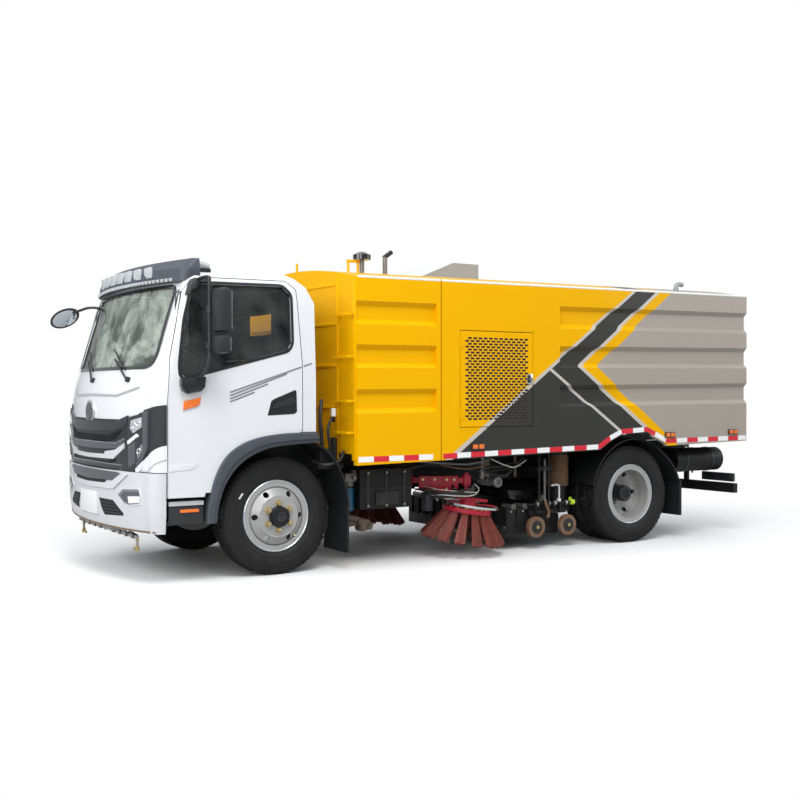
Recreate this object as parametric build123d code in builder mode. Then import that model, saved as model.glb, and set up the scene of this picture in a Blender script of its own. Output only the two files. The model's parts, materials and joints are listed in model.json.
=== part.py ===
"""Street sweeper truck: a two-axle cab-over lorry with a water tank, a tipping
hopper, two side brushes and a suction nozzle.

Millimetres. +X is forward, +Y is the vehicle's left and +Z is up. The origin is
on the ground, at the middle of the overall length and width. Stations written
with at() are measured from the front axle line, forward being positive.
"""

import os
from math import cos, radians, sin

from build123d import *

os.makedirs("parts", exist_ok=True)

# Driving dimensions
FRONT_AXLE_X = 2084
WHEELBASE = 3900
REAR_AXLE_X = FRONT_AXLE_X - WHEELBASE
AXLE_Z = 485
FRONT_TRACK_Y = 879
REAR_OUTER_Y = 949
TWIN_SPACING = 270
BODY_HALF_WIDTH = 1225
WALL = 50
ROOF_CROWN = 140
RAIL_OUTER_Y = 430
RAIL_Z = (640, 860)
SUBFRAME_TOP = 980
RUNNING_GAP = 0.05
PANEL_GAP = 6

SIDES = {"left": 1, "right": -1}


def at(station):
    """Returns the X of a station measured from the front axle line."""
    return FRONT_AXLE_X + station


def save(part, label):
    """Labels a finished piece and writes its STEP file."""
    part.label = label
    export_step(part, f"parts/{label}.step")


def save_pair(part, label):
    """Writes a left-hand piece and its mirror image."""
    save(part, f"{label}_left")
    save(mirror(part, about=Plane.XZ, mode=Mode.PRIVATE), f"{label}_right")


def block(x, y, z, mode=Mode.ADD):
    """Adds a box between the low and high values of each axis."""
    with Locations(((x[0] + x[1]) / 2, (y[0] + y[1]) / 2, (z[0] + z[1]) / 2)):
        Box(x[1] - x[0], y[1] - y[0], z[1] - z[0], mode=mode)


def twin_blocks(x, y, z, mode=Mode.ADD):
    """Adds a box and its mirror image across the centre plane."""
    block(x, y, z, mode)
    block(x, (-y[1], -y[0]), z, mode)


def rod(axis, centre, radius, length, mode=Mode.ADD):
    """Adds a cylinder along the named axis."""
    turn = {"x": (0, 90, 0), "y": (90, 0, 0), "z": (0, 0, 0)}[axis]
    with Locations(centre):
        Cylinder(radius, length, rotation=turn, mode=mode)


def strut(start, end, radius):
    """Adds a round bar between two points."""
    line = Vector(*end) - Vector(*start)
    with BuildSketch(Plane(origin=start, z_dir=line)) as profile:
        Circle(radius)
    extrude(profile.sketch, amount=line.length)


def side_prism(outline, y, mode=Mode.ADD):
    """Extrudes an outline of (x, z) points from one Y to the other."""
    with BuildSketch(Plane.XZ.offset(-y[1])) as profile:
        with BuildLine():
            Polyline(*outline, close=True)
        make_face()
    extrude(profile.sketch, amount=y[1] - y[0], mode=mode)


def front_prism(outline, x, mode=Mode.ADD):
    """Extrudes an outline of (y, z) points from one X to the other."""
    with BuildSketch(Plane.YZ.offset(x[0])) as profile:
        with BuildLine():
            Polyline(*outline, close=True)
        make_face()
    extrude(profile.sketch, amount=x[1] - x[0], mode=mode)


def spin_profile(outline, x, y):
    """Revolves an outline of (width, radius) points about a wheel's axis at (x, y)."""
    with BuildSketch(Plane.YZ.offset(x)) as profile:
        with BuildLine():
            Polyline(*[(y + w, AXLE_Z + r) for w, r in outline], close=True)
        make_face()
    revolve(profile.sketch, axis=Axis((x, 0, AXLE_Z), (0, 1, 0)))


# Wheels and tyres, outlines in (width from the wheel's centre plane, radius)
TYRE_OUTLINE = [(-84, 254), (-86, 302), (-112, 340), (-118, 385), (-112, 440), (-98, 474), (-70, 485),
                (70, 485), (98, 474), (112, 440), (118, 385), (112, 340), (86, 302), (84, 254)]
BARREL_OUTLINE = [(-95, 298), (-95, 244), (95, 244), (95, 298), (87, 298), (87, 254), (-87, 254), (-87, 298)]
DISC_OUTLINE = [(140, 60), (140, 168), (98, 232), (62, 250), (50, 244), (86, 226), (128, 162), (128, 60)]
HUB_RADIUS = 80
SPINDLE_RADIUS = 40
VENT_RADIUS = 24
VENT_CIRCLE = 205
VENTS = 6


def tyre(x, y):
    """Revolves one tyre about the wheel's axis."""
    spin_profile(TYRE_OUTLINE, x, y)


def steel_wheel(x, y, outward):
    """Revolves one rim with its dished disc, which stands out on the given side."""
    spin_profile(BARREL_OUTLINE, x, y)
    spin_profile([(outward * w, r) for w, r in DISC_OUTLINE], x, y)
    for k in range(VENTS):
        angle = radians(360 / VENTS * (k + 0.5))
        centre = (x + VENT_CIRCLE * sin(angle), y + outward * 100, AXLE_Z + VENT_CIRCLE * cos(angle))
        rod("y", centre, VENT_RADIUS, 130, Mode.SUBTRACT)


with BuildPart() as front_tyre:
    tyre(FRONT_AXLE_X, FRONT_TRACK_Y)
save_pair(front_tyre.part, "front_tyre")

with BuildPart() as front_wheel:
    steel_wheel(FRONT_AXLE_X, FRONT_TRACK_Y, 1)
    rod("y", (FRONT_AXLE_X, FRONT_TRACK_Y + 120, AXLE_Z), HUB_RADIUS, 130)
    rod("y", (FRONT_AXLE_X, FRONT_TRACK_Y + 75, AXLE_Z), SPINDLE_RADIUS + RUNNING_GAP, 150, Mode.SUBTRACT)
save_pair(front_wheel.part, "front_wheel")

REAR_INNER_Y = REAR_OUTER_Y - TWIN_SPACING
REAR_MIDDLE_Y = (REAR_OUTER_Y + REAR_INNER_Y) / 2
with BuildPart() as rear_tyres:
    tyre(REAR_AXLE_X, REAR_OUTER_Y)
    tyre(REAR_AXLE_X, REAR_INNER_Y)
save_pair(rear_tyres.part, "rear_tyres")

with BuildPart() as rear_wheels:
    steel_wheel(REAR_AXLE_X, REAR_OUTER_Y, -1)
    steel_wheel(REAR_AXLE_X, REAR_INNER_Y, 1)
    rod("y", (REAR_AXLE_X, REAR_MIDDLE_Y + 40, AXLE_Z), HUB_RADIUS, 240)
    rod("y", (REAR_AXLE_X, REAR_MIDDLE_Y - 20, AXLE_Z), SPINDLE_RADIUS + RUNNING_GAP, 180, Mode.SUBTRACT)
save_pair(rear_wheels.part, "rear_wheels")

# Front axle, knuckles, springs and rear axle
KINGPIN_Y = 770
KINGPIN_RADIUS = 20

with BuildPart() as front_axle:
    block((at(-40), at(40)), (-700, 700), (395, 480))
    twin_blocks((at(-36), at(36)), (690, 740), (440, 530))
    for side in SIDES.values():
        rod("z", (FRONT_AXLE_X, side * KINGPIN_Y, AXLE_Z), 45, 90)
    for side in SIDES.values():
        rod("z", (FRONT_AXLE_X, side * KINGPIN_Y, AXLE_Z), KINGPIN_RADIUS + RUNNING_GAP, 100, Mode.SUBTRACT)
    twin_blocks((at(-60), at(60)), (400, 470), (480, 500))
save(front_axle.part, "front_axle")

with BuildPart() as knuckle:
    rod("z", (FRONT_AXLE_X, KINGPIN_Y, AXLE_Z), KINGPIN_RADIUS, 160)
    for low, high in ((395, 435), (535, 575)):
        rod("z", (FRONT_AXLE_X, KINGPIN_Y, (low + high) / 2), 42, high - low)
        block((at(-42), at(42)), (KINGPIN_Y, 850), (low, high))
    block((at(-60), at(60)), (826, 856), (395, 575))
    rod("y", (FRONT_AXLE_X, 900, AXLE_Z), SPINDLE_RADIUS, 96)
save_pair(knuckle.part, "knuckle")


def spring(x, half_length, z_middle, z_end, thick, y):
    """Adds one bowed leaf pack as a band between two arcs."""
    with BuildSketch(Plane.XZ.offset(-y[1])) as leaf:
        with BuildLine():
            ThreePointArc((x - half_length, z_end), (x, z_middle), (x + half_length, z_end))
            Line((x + half_length, z_end), (x + half_length, z_end + thick))
            ThreePointArc((x + half_length, z_end + thick), (x, z_middle + thick),
                          (x - half_length, z_end + thick))
            Line((x - half_length, z_end + thick), (x - half_length, z_end))
        make_face()
    extrude(leaf.sketch, amount=y[1] - y[0])


# Leaf springs: axle X, half length, middle Z, end Z, thickness
SPRINGS = [
    (FRONT_AXLE_X, 640, 501, 606, 32),
    (REAR_AXLE_X, 680, 572, 600, 38),
]
with BuildPart() as leaf_springs:
    for x, half_length, z_middle, z_end, thick in SPRINGS:
        for y in ((395, 465), (-465, -395)):
            spring(x, half_length, z_middle, z_end, thick, y)
save(leaf_springs.part, "leaf_springs")

with BuildPart() as rear_axle:
    rod("y", (REAR_AXLE_X, 0, AXLE_Z), 75, 1300)
    with Locations((REAR_AXLE_X, 0, AXLE_Z)):
        Sphere(190)
    rod("x", (REAR_AXLE_X + 190, 0, AXLE_Z), 80, 160)
    for side in SIDES.values():
        rod("y", (REAR_AXLE_X, side * 740, AXLE_Z), SPINDLE_RADIUS, 230)
    twin_blocks((REAR_AXLE_X - 60, REAR_AXLE_X + 60), (395, 465), (540, 571))
save(rear_axle.part, "rear_axle")

# Chassis frame
FRAME_FRONT = at(985)
FRAME_REAR = at(-5400)
CROSSMEMBERS = [at(945), at(-1300), at(-2250), at(-3250), at(-4550), at(-5230)]
CAB_PIVOT = (at(1130), 860)
TIP_PIVOT = (at(-5350), 930)
PIN_RADIUS = 18
TOW_HOLE_RADIUS = 20
ARM_PIVOT = (at(-1560), 560)
# Lugs of the brush arm's pivot. Columns: inner Y, low Z, high Z
ARM_LUGS = [(RAIL_OUTER_Y - 50, 610, 639), (RAIL_OUTER_Y - 20, 741, 770)]
# Suction pipe and the guides of the nozzle's two lifting rods
PIPE_SPOT = (at(-3150), 800)
PIPE_RADII = (98, 106)
LIFT_RODS = [(at(-2810), 940), (at(-2930), 940)]
LIFT_ROD_RADIUS = 11

with BuildPart() as chassis_frame:
    twin_blocks((FRAME_REAR, FRAME_FRONT), (RAIL_OUTER_Y - 60, RAIL_OUTER_Y), RAIL_Z)
    twin_blocks((FRAME_REAR, FRAME_FRONT), (RAIL_OUTER_Y - 70, RAIL_OUTER_Y - 10),
                (RAIL_Z[0] + 10, RAIL_Z[1] - 10), Mode.SUBTRACT)
    for x in CROSSMEMBERS:
        block((x - 30, x + 30), (10 - RAIL_OUTER_Y, RAIL_OUTER_Y - 10), (755, 845))
    block((at(-5400), at(-5370)), (10 - RAIL_OUTER_Y, RAIL_OUTER_Y - 10), (650, 845))
    block((at(-5446), at(-5380)), (-60, 60), (670, 750))
    rod("z", (at(-5420), 0, 710), TOW_HOLE_RADIUS, 90, Mode.SUBTRACT)
    twin_blocks((at(-5260), at(-640)), (RAIL_OUTER_Y - 50, RAIL_OUTER_Y), (860, SUBFRAME_TOP))
    for x in (at(-700), at(-1440), at(-2620), at(-3300), at(-4600)):
        block((x - 25, x + 25), (-RAIL_OUTER_Y, RAIL_OUTER_Y), (870, 940))
    twin_blocks((FRAME_FRONT - 40, at(1040)), (390, RAIL_OUTER_Y), (700, 820))
    twin_blocks((FRAME_FRONT - 40, at(1160)), (390, RAIL_OUTER_Y), (820, 895))
    twin_blocks((at(-5395), at(-5300)), (336, 370), (RAIL_Z[1] - 60, 965))
    for side in SIDES.values():
        rod("y", (CAB_PIVOT[0], side * 460, CAB_PIVOT[1]), PIN_RADIUS, 100)
        rod("y", (TIP_PIVOT[0], side * 400, TIP_PIVOT[1]), PIN_RADIUS, 80)
        rod("z", (ARM_PIVOT[0], side * ARM_PIVOT[1], 690), PIN_RADIUS, 170)
        block((ARM_PIVOT[0] - 45, ARM_PIVOT[0] + 45), sorted((side * (RAIL_OUTER_Y - 50), side * RAIL_OUTER_Y)),
              (630, 660))
        for inner_y, low, high in ARM_LUGS:
            block((ARM_PIVOT[0] - 45, ARM_PIVOT[0] + 45), sorted((side * inner_y, side * (ARM_PIVOT[1] + 45))),
                  (low, high))
        block((at(-2960), at(-2780)), sorted((side * RAIL_OUTER_Y, side * 960)), (750, 790))
        for x, y in LIFT_RODS:
            rod("z", (x, side * y, 770), LIFT_ROD_RADIUS + RUNNING_GAP, 60, Mode.SUBTRACT)
    block((at(-3180), at(-3120)), (RAIL_OUTER_Y, PIPE_SPOT[1] - 50), (740, 780))
    rod("z", (*PIPE_SPOT, 820), PIPE_RADII[1], 480)
    rod("z", (*PIPE_SPOT, 820), PIPE_RADII[0], 500, Mode.SUBTRACT)
save(chassis_frame.part, "chassis_frame")

with BuildPart() as main_engine:
    block((at(-380), at(820)), (-330, 330), (600, 1060))
    block((at(830), at(905)), (-340, 340), (560, 1060))
    block((at(810), at(840)), (-60, 60), (700, 900))
    rod("x", (at(-700), 0, 700), 150, 700)
save(main_engine.part, "main_engine")

with BuildPart() as drive_shaft:
    SHAFT_START, SHAFT_END = Vector(at(-1060), 0, 690), Vector(REAR_AXLE_X + 290, 0, 500)
    shaft_axis = SHAFT_END - SHAFT_START
    with BuildSketch(Plane(origin=SHAFT_START, z_dir=shaft_axis)):
        Circle(55)
    extrude(amount=shaft_axis.length)
save(drive_shaft.part, "drive_shaft")

# Body sections: the water tank and the hopper share one outer shape, whose edges
# rise a little to the rear. Columns: station, bottom edge Z, top edge Z
BODY_FRONT = (-627, 891, 2471)
TANK_REAR = (-1472, 909, 2480)
HOPPER_FRONT = (-1484, 909, 2480)
HOPPER_REAR = (-5404, 993, 2518)


def body_section(station, bottom, top, inset=0, bottom_rise=0):
    """Sketches one cross-section with straight sides and a crowned roof."""
    half = BODY_HALF_WIDTH - inset
    low, high = bottom + bottom_rise, top - inset
    with BuildSketch(Plane.YZ.offset(at(station))) as section:
        with BuildLine():
            Polyline((half, high), (half, low), (-half, low), (-half, high))
            ThreePointArc((-half, high), (0, high + ROOF_CROWN), (half, high))
        make_face()
    return section.sketch


def body_loft(front, rear, inset=0, bottom_rise=0, mode=Mode.ADD):
    """Lofts the body's shape between two stations."""
    loft([body_section(*rear, inset, bottom_rise), body_section(*front, inset, bottom_rise)],
         ruled=True, mode=mode)


def band_section(x, side, low, high, depth, slope):
    """Sketches one pressed band, a trapezium open to the outside."""
    outer, floor = side * (BODY_HALF_WIDTH + 2), side * (BODY_HALF_WIDTH - depth)
    with BuildSketch(Plane.YZ.offset(x)) as section:
        with BuildLine():
            Polyline((outer, low), (floor, low + slope), (floor, high - slope), (outer, high), close=True)
        make_face()
    return section.sketch


BAND_DEPTH = 38
BAND_SLOPE = 44
# Pressed bands. Columns: low Z and high Z at the front end, low Z and high Z at the rear end
TANK_BANDS = [(2076, 2276, 2082, 2282), (1708, 1909, 1714, 1915), (1324, 1533, 1331, 1540)]
HOPPER_BANDS = [(2101, 2317, 2128, 2347), (1734, 1941, 1757, 1976), (1367, 1574, 1388, 1605)]


def pressed_bands(table, front, rear):
    """Cuts the pressed bands of a table into both sides between two X values."""
    for low_1, high_1, low_2, high_2 in table:
        for side in SIDES.values():
            loft([band_section(rear, side, low_2, high_2, BAND_DEPTH, BAND_SLOPE),
                  band_section(front, side, low_1, high_1, BAND_DEPTH, BAND_SLOPE)],
                 ruled=True, mode=Mode.SUBTRACT)


INLET_RADIUS = 33
PIPE_Y = 400
ROOF_HANDLE_X = (at(-1112), at(-1010))
RUNG_HEIGHTS = [1166, 1433, 1808, 2165]
with BuildPart() as water_tank:
    body_loft(BODY_FRONT, TANK_REAR)
    pressed_bands(TANK_BANDS, at(-600), at(-1430))
    block((at(-1480), at(-600)), (-BODY_HALF_WIDTH + 60, BODY_HALF_WIDTH - 60), (800, SUBFRAME_TOP + 4),
          Mode.SUBTRACT)
    twin_blocks((at(-1400), at(-700)), (RAIL_OUTER_Y - 45, RAIL_OUTER_Y - 5), (SUBFRAME_TOP, 1000))
    for z in RUNG_HEIGHTS:
        block((at(-640), at(-545)), (930, 950), (z - 10, z + 10))
        block((at(-640), at(-545)), (1170, 1190), (z - 10, z + 10))
        block((at(-565), at(-545)), (930, 1190), (z - 10, z + 10))
    rod("y", (at(-1100), -BODY_HALF_WIDTH - 20, 1120), INLET_RADIUS, 60)
    rod("z", (at(-665), 50, 2640), 11, 110)
    for x in ROOF_HANDLE_X:
        rod("z", (x, PIPE_Y, 2640), 12, 140)
    block((ROOF_HANDLE_X[0] - 12, ROOF_HANDLE_X[1] + 12), (PIPE_Y - 12, PIPE_Y + 12), (2696, 2720))
save(water_tank.part, "water_tank")

# Hopper, open below its front compartment, which covers the auxiliary engine
HOPPER_FLOOR = (1080, 1100)
COMPARTMENT_REAR = -2760
TAILGATE_THICK = 60
TAILGATE_Z = (1004, 2438)
SERVICE_DOOR_X = (at(-2505), at(-1678))
SERVICE_DOOR_Z = (1192, 2058)
# Wheel arch cut in the lower edge, (station, Z)
REAR_ARCH = [(-3331, 900), (-3331, 945), (-3473, 1030), (-3618, 1090), (-3950, 1105), (-4063, 1055),
             (-4230, 985), (-4230, 900)]

with BuildPart() as hopper_body:
    body_loft(HOPPER_FRONT, HOPPER_REAR)
    body_loft((HOPPER_FRONT[0] - 30, 800, 2480), (COMPARTMENT_REAR + 20, 800, 2492), WALL,
              mode=Mode.SUBTRACT)
    body_loft((COMPARTMENT_REAR, HOPPER_FLOOR[1], 2492), (HOPPER_REAR[0] - 50, HOPPER_FLOOR[1], 2519), WALL,
              mode=Mode.SUBTRACT)
    block((at(-5460), at(COMPARTMENT_REAR)), (WALL - BODY_HALF_WIDTH, BODY_HALF_WIDTH - WALL),
          (800, HOPPER_FLOOR[0]), Mode.SUBTRACT)
    block((at(-5460), at(-1400)), (WALL - BODY_HALF_WIDTH, BODY_HALF_WIDTH - WALL), (800, SUBFRAME_TOP + 5),
          Mode.SUBTRACT)
    block((at(-5460), at(-5404 + TAILGATE_THICK + 6)), (WALL - BODY_HALF_WIDTH, BODY_HALF_WIDTH - WALL),
          (HOPPER_FLOOR[0] - 100, 2448), Mode.SUBTRACT)
    pressed_bands(HOPPER_BANDS, at(-2829), at(-5420))
    side_prism([(at(s), z) for s, z in REAR_ARCH], (-1300, 1300), Mode.SUBTRACT)
    for side in SIDES.values():
        y = sorted((side * 1100, side * 1300))
        block(SERVICE_DOOR_X, y, SERVICE_DOOR_Z, Mode.SUBTRACT)
    block((at(-5404), at(-5404 + TAILGATE_THICK)), (-1200, 1200), (2448, 2500))
    twin_blocks((at(-5338), at(COMPARTMENT_REAR + 15)), (RAIL_OUTER_Y - 50, RAIL_OUTER_Y - 2),
                (SUBFRAME_TOP + 5, HOPPER_FLOOR[0]))
    twin_blocks((at(-5338), at(-5300)), (RAIL_OUTER_Y - 50, RAIL_OUTER_Y - 2), (895, HOPPER_FLOOR[0]))
    twin_blocks((at(-5390), at(-5330)), (RAIL_OUTER_Y - 50, RAIL_OUTER_Y - 2), (895, 996))
    rod("y", (TIP_PIVOT[0], 0, TIP_PIVOT[1]), PIN_RADIUS + RUNNING_GAP, 1000, Mode.SUBTRACT)
save(hopper_body.part, "hopper_body")

GATE_PIVOT = (at(-5430), 2443)
GATE_HINGES = [-800, 0, 800]
with BuildPart() as tailgate:
    block((at(-5404), at(-5404 + TAILGATE_THICK)), (WALL + PANEL_GAP - BODY_HALF_WIDTH,
          BODY_HALF_WIDTH - WALL - PANEL_GAP), TAILGATE_Z)
    for y in GATE_HINGES:
        rod("y", (GATE_PIVOT[0], y, GATE_PIVOT[1]), 20, 90)
        block((GATE_PIVOT[0], at(-5390)), (y - 45, y + 45), (TAILGATE_Z[1] - 30, TAILGATE_Z[1]))
save(tailgate.part, "tailgate")

with BuildPart() as service_door:
    block((SERVICE_DOOR_X[0] + PANEL_GAP, SERVICE_DOOR_X[1] - PANEL_GAP), (BODY_HALF_WIDTH - 25, BODY_HALF_WIDTH),
          (SERVICE_DOOR_Z[0] + PANEL_GAP, SERVICE_DOOR_Z[1] - PANEL_GAP))
    for z in (SERVICE_DOOR_Z[0] + 120, SERVICE_DOOR_Z[1] - 120):
        rod("z", (SERVICE_DOOR_X[1], BODY_HALF_WIDTH + 6, z), 5.5, 80)
        block((SERVICE_DOOR_X[1] - 40, SERVICE_DOOR_X[1] - 3), (BODY_HALF_WIDTH, BODY_HALF_WIDTH + 5), (z - 40, z + 40))
save_pair(service_door.part, "service_door")

HOOD_HALF_WIDTH = 400
with BuildPart() as roof_hood:
    side_prism([(at(-1760), 2590), (at(-2180), 2762), (at(-2480), 2762), (at(-2480), 2590)],
               (-HOOD_HALF_WIDTH, HOOD_HALF_WIDTH))
    body_loft(HOPPER_FRONT, HOPPER_REAR, mode=Mode.SUBTRACT)
save(roof_hood.part, "roof_hood")

# Auxiliary engine and pipes through the tank's roof
INTAKE_X = at(-1155)
with BuildPart() as aux_engine:
    block((at(-2600), at(-1760)), (-430, 430), (SUBFRAME_TOP, 1050))
    block((at(-2450), at(-1800)), (-380, 380), (1050, 1850))
    rod("y", (at(-2620 + 380), 0, 1450), 300, 1300)
save(aux_engine.part, "aux_engine")

with BuildPart() as roof_pipes:
    rod("z", (INTAKE_X, PIPE_Y, 2660), 22, 140)
    rod("z", (INTAKE_X, PIPE_Y, 2750), 82, 45)
    with Locations((INTAKE_X, PIPE_Y, 2785)):
        Cone(80, 30, 26)
    rod("z", (at(-1405), PIPE_Y, 2680), 22, 180)
    with Locations(Location((at(-1435), PIPE_Y, 2790), (0, -55, 0))):
        Cylinder(22, 100)
    body_loft(BODY_FRONT, TANK_REAR, mode=Mode.SUBTRACT)
save(roof_pipes.part, "roof_pipes")

# Tanks, guards and rear end below the body
with BuildPart() as side_tanks:
    block((at(-1440), at(-900)), (480, 800), (470, 820))
    rod("z", (at(-840), 700, 580), 48, 250)
    block((at(-1300), at(-700)), (-1050, -500), (420, 820))
save(side_tanks.part, "side_tanks")

with BuildPart() as air_tank:
    rod("x", (at(-4990), 850, 790), 125, 680)
    block((at(-5150), at(-5100)), (RAIL_OUTER_Y, 850), (760, 820))
    block((at(-4850), at(-4800)), (RAIL_OUTER_Y, 850), (760, 820))
save(air_tank.part, "air_tank")

with BuildPart() as underrun_bar:
    block((at(-5410), at(-5350)), (-1100, 1100), (430, 530))
    twin_blocks((at(-5395), at(-5365)), (372, 428), (530, RAIL_Z[0]))
save(underrun_bar.part, "underrun_bar")


def guard_band(x, y, radius, thick, start, stop):
    """Adds an arched guard plate about an axle between two angles in degrees from +X."""
    def spot(r, angle):
        return (x + r * cos(radians(angle)), AXLE_Z + r * sin(radians(angle)))
    middle = (start + stop) / 2
    with BuildSketch(Plane.XZ.offset(-y[1])) as band:
        with BuildLine():
            ThreePointArc(spot(radius, start), spot(radius, middle), spot(radius, stop))
            Line(spot(radius, stop), spot(radius + thick, stop))
            ThreePointArc(spot(radius + thick, stop), spot(radius + thick, middle),
                          spot(radius + thick, start))
            Line(spot(radius + thick, start), spot(radius, start))
        make_face()
    extrude(band.sketch, amount=y[1] - y[0])


with BuildPart() as front_mudguards:
    for y in ((720, 1135), (-1135, -720)):
        guard_band(FRONT_AXLE_X, y, 655, 18, 117.5, 175)
        block((at(-662), at(-640)), y, (AXLE_Z - 330, AXLE_Z + 70))
    twin_blocks((at(-640), at(-560)), (RAIL_OUTER_Y, 740), (760, 800))
save(front_mudguards.part, "front_mudguards")

with BuildPart() as rear_mudguards:
    for y in ((540, 1110), (-1110, -540)):
        guard_band(REAR_AXLE_X, y, 548, 14, 12, 168)
        block((at(-4478), at(-4448)), y, (240, 600))
    twin_blocks((REAR_AXLE_X + 400, REAR_AXLE_X + 440), (RAIL_OUTER_Y, 560), (780, 850))
    twin_blocks((REAR_AXLE_X - 440, REAR_AXLE_X - 400), (RAIL_OUTER_Y, 560), (780, 850))
save(rear_mudguards.part, "rear_mudguards")

# Sweeping gear
BRUSH_CENTRE = Vector(at(-1995), 880, 405)
BRUSH_AXIS = Vector(-0.132, 0.0835, 0.9877)
BRUSH_PLANE = Plane(origin=BRUSH_CENTRE, x_dir=(1, 0, 0.1336), z_dir=BRUSH_AXIS)
TUFTS = 14
TUFT_LENGTH = 330
TUFT_LEAN = 34

with BuildPart() as side_brush:
    with BuildSketch(BRUSH_PLANE):
        Circle(225)
    extrude(amount=28)
    with BuildSketch(BRUSH_PLANE.offset(28)):
        Circle(24)
    extrude(amount=40)
    for k in range(TUFTS):
        turn = Plane(BRUSH_PLANE.location * Location((0, 0, 0), (0, 0, 360 / TUFTS * k)))
        foot = Plane(turn.location * Location((185, 0, 8), (0, 180 - TUFT_LEAN, 0)))
        with BuildSketch(foot):
            Rectangle(26, 52)
        with BuildSketch(foot.offset(TUFT_LENGTH)):
            Rectangle(30, 92)
        loft(ruled=True)
save_pair(side_brush.part, "side_brush")

GUIDE_SPOT = (at(-1995), 880)
GUIDE_RADIUS = 20
with BuildPart() as brush_head:
    with BuildSketch(BRUSH_PLANE.offset(34)):
        Circle(75)
        Circle(26, mode=Mode.SUBTRACT)
    extrude(amount=70)
    with BuildSketch(BRUSH_PLANE.offset(104)):
        Rectangle(380, 90)
    extrude(amount=24)
    with BuildSketch(BRUSH_PLANE.offset(60)):
        Circle(300)
        Circle(286, mode=Mode.SUBTRACT)
    extrude(amount=20)
    with BuildSketch(BRUSH_PLANE.offset(64)):
        Rectangle(590, 30)
        Circle(50, mode=Mode.SUBTRACT)
    extrude(amount=14)
    rod("z", (*GUIDE_SPOT, 640), GUIDE_RADIUS, 240)
save_pair(brush_head.part, "brush_head")

with BuildPart() as brush_arm:
    rod("z", (ARM_PIVOT[0], ARM_PIVOT[1], 690), 45, 100)
    rod("z", (ARM_PIVOT[0], ARM_PIVOT[1], 690), PIN_RADIUS + RUNNING_GAP, 110, Mode.SUBTRACT)
    with BuildSketch(Plane.XY.offset(665)):
        with BuildLine():
            Polyline((ARM_PIVOT[0] - 20, ARM_PIVOT[1] + 38), (at(-1975), 900), (at(-2015), 845),
                     (ARM_PIVOT[0] - 38, ARM_PIVOT[1] - 20), close=True)
        make_face()
    extrude(amount=50)
    rod("z", (*GUIDE_SPOT, 690), 42, 100)
    rod("z", (*GUIDE_SPOT, 690), GUIDE_RADIUS + RUNNING_GAP, 110, Mode.SUBTRACT)
save_pair(brush_arm.part, "brush_arm")

NOZZLE_X = (at(-3120), at(-2480))
NOZZLE_LIFT = 115
with BuildPart() as suction_nozzle:
    block(NOZZLE_X, (-860, 860), (150, 400))
    block((NOZZLE_X[0] + 12, NOZZLE_X[1] - 12), (-848, 848), (100, 330), Mode.SUBTRACT)
    rod("z", (*PIPE_SPOT, 520), PIPE_RADII[0] - 8, 300)
    block((at(-3255), at(-3000)), (PIPE_SPOT[1] - 100, PIPE_SPOT[1] + 60), (340, 400))
    rod("z", (*PIPE_SPOT, 520), PIPE_RADII[0] - 16, 400, Mode.SUBTRACT)
    for side in SIDES.values():
        for x, y in LIFT_RODS:
            rod("z", (x, side * y, 635), LIFT_ROD_RADIUS, 550)
            rod("z", (x, side * y, 915), 20, 14)
        block((at(-2960), at(-2780)), sorted((side * 860, side * 955)), (345, 365))
        rod("x", (at(-2960), side * 925, 430), 10, 560)
        rod("x", (at(-3255), side * 925, 430), 22, 40)
        for x in (at(-2780), at(-3080)):
            block((x - 8, x + 8), sorted((side * 903, side * 937)), (350, 440))
    twin_blocks((at(-3180), at(-2720)), (860, 905), (330, 370))
save(suction_nozzle.part, "suction_nozzle")

CASTER_RADIUS = 100
CASTER_X = {"front": at(-2760), "rear": at(-3150)}
CASTER_Z = CASTER_RADIUS + NOZZLE_LIFT
for place, x in CASTER_X.items():
    with BuildPart() as caster:
        rod("y", (x, 950, CASTER_Z), CASTER_RADIUS, 45)
        rod("y", (x, 950, CASTER_Z), 12, 110, Mode.SUBTRACT)
    save_pair(caster.part, f"caster_{place}")

with BuildPart() as spray_bar:
    block((at(1080), at(1105)), (-720, 720), (345, 370))
    twin_blocks((at(1085), at(1100)), (700, 720), (245, 350))
    twin_blocks((at(1080), at(1105)), (385, 425), (370, 415))
    twin_blocks((at(1105), at(1220)), (385, 425), (391, 415))
save(spray_bar.part, "spray_bar")

# Cab: outer shape in levels. Columns: Z, rear station, half width, station where the side
# ends, corner station, corner Y, front station
CAB_LEVELS = [
    (680, -285, 1135, 990, 1095, 1020, 1240),
    (1100, -285, 1135, 990, 1105, 1020, 1252),
    (1440, -285, 1135, 985, 1090, 1020, 1240),
    (1560, -285, 1135, 970, 1065, 1018, 1212),
    (1700, -285, 1130, 945, 1030, 1010, 1162),
    (2240, -285, 1102, 815, 865, 1005, 985),
    (2370, -211, 1085, 775, 825, 985, 945),
    (2440, -120, 1050, 720, 770, 945, 885),
    (2488, -40, 960, 640, 690, 850, 800),
]
CAB_SKIN = 45
CAB_FLOOR = (1110, 1150)


def cab_section(z, rear, half, side_end, corner, corner_y, front, inset=0):
    """Sketches one level of the cab: straight sides, rounded corners and a bowed front."""
    half, rear = half - inset, rear + inset
    side_end, corner, corner_y, front = side_end - inset / 2, corner - inset, corner_y - inset * 0.8, front - inset
    with BuildSketch(Plane.XY.offset(z)) as section:
        with BuildLine():
            Line((at(rear), half), (at(side_end), half))
            TangentArc((at(side_end), half), (at(corner), corner_y), tangent=(1, 0))
            ThreePointArc((at(corner), corner_y), (at(front), 0), (at(corner), -corner_y))
            TangentArc((at(side_end), -half), (at(corner), -corner_y), tangent=(1, 0))
            Line((at(side_end), -half), (at(rear), -half))
            Line((at(rear), -half), (at(rear), half))
        make_face()
    return section.sketch


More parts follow.
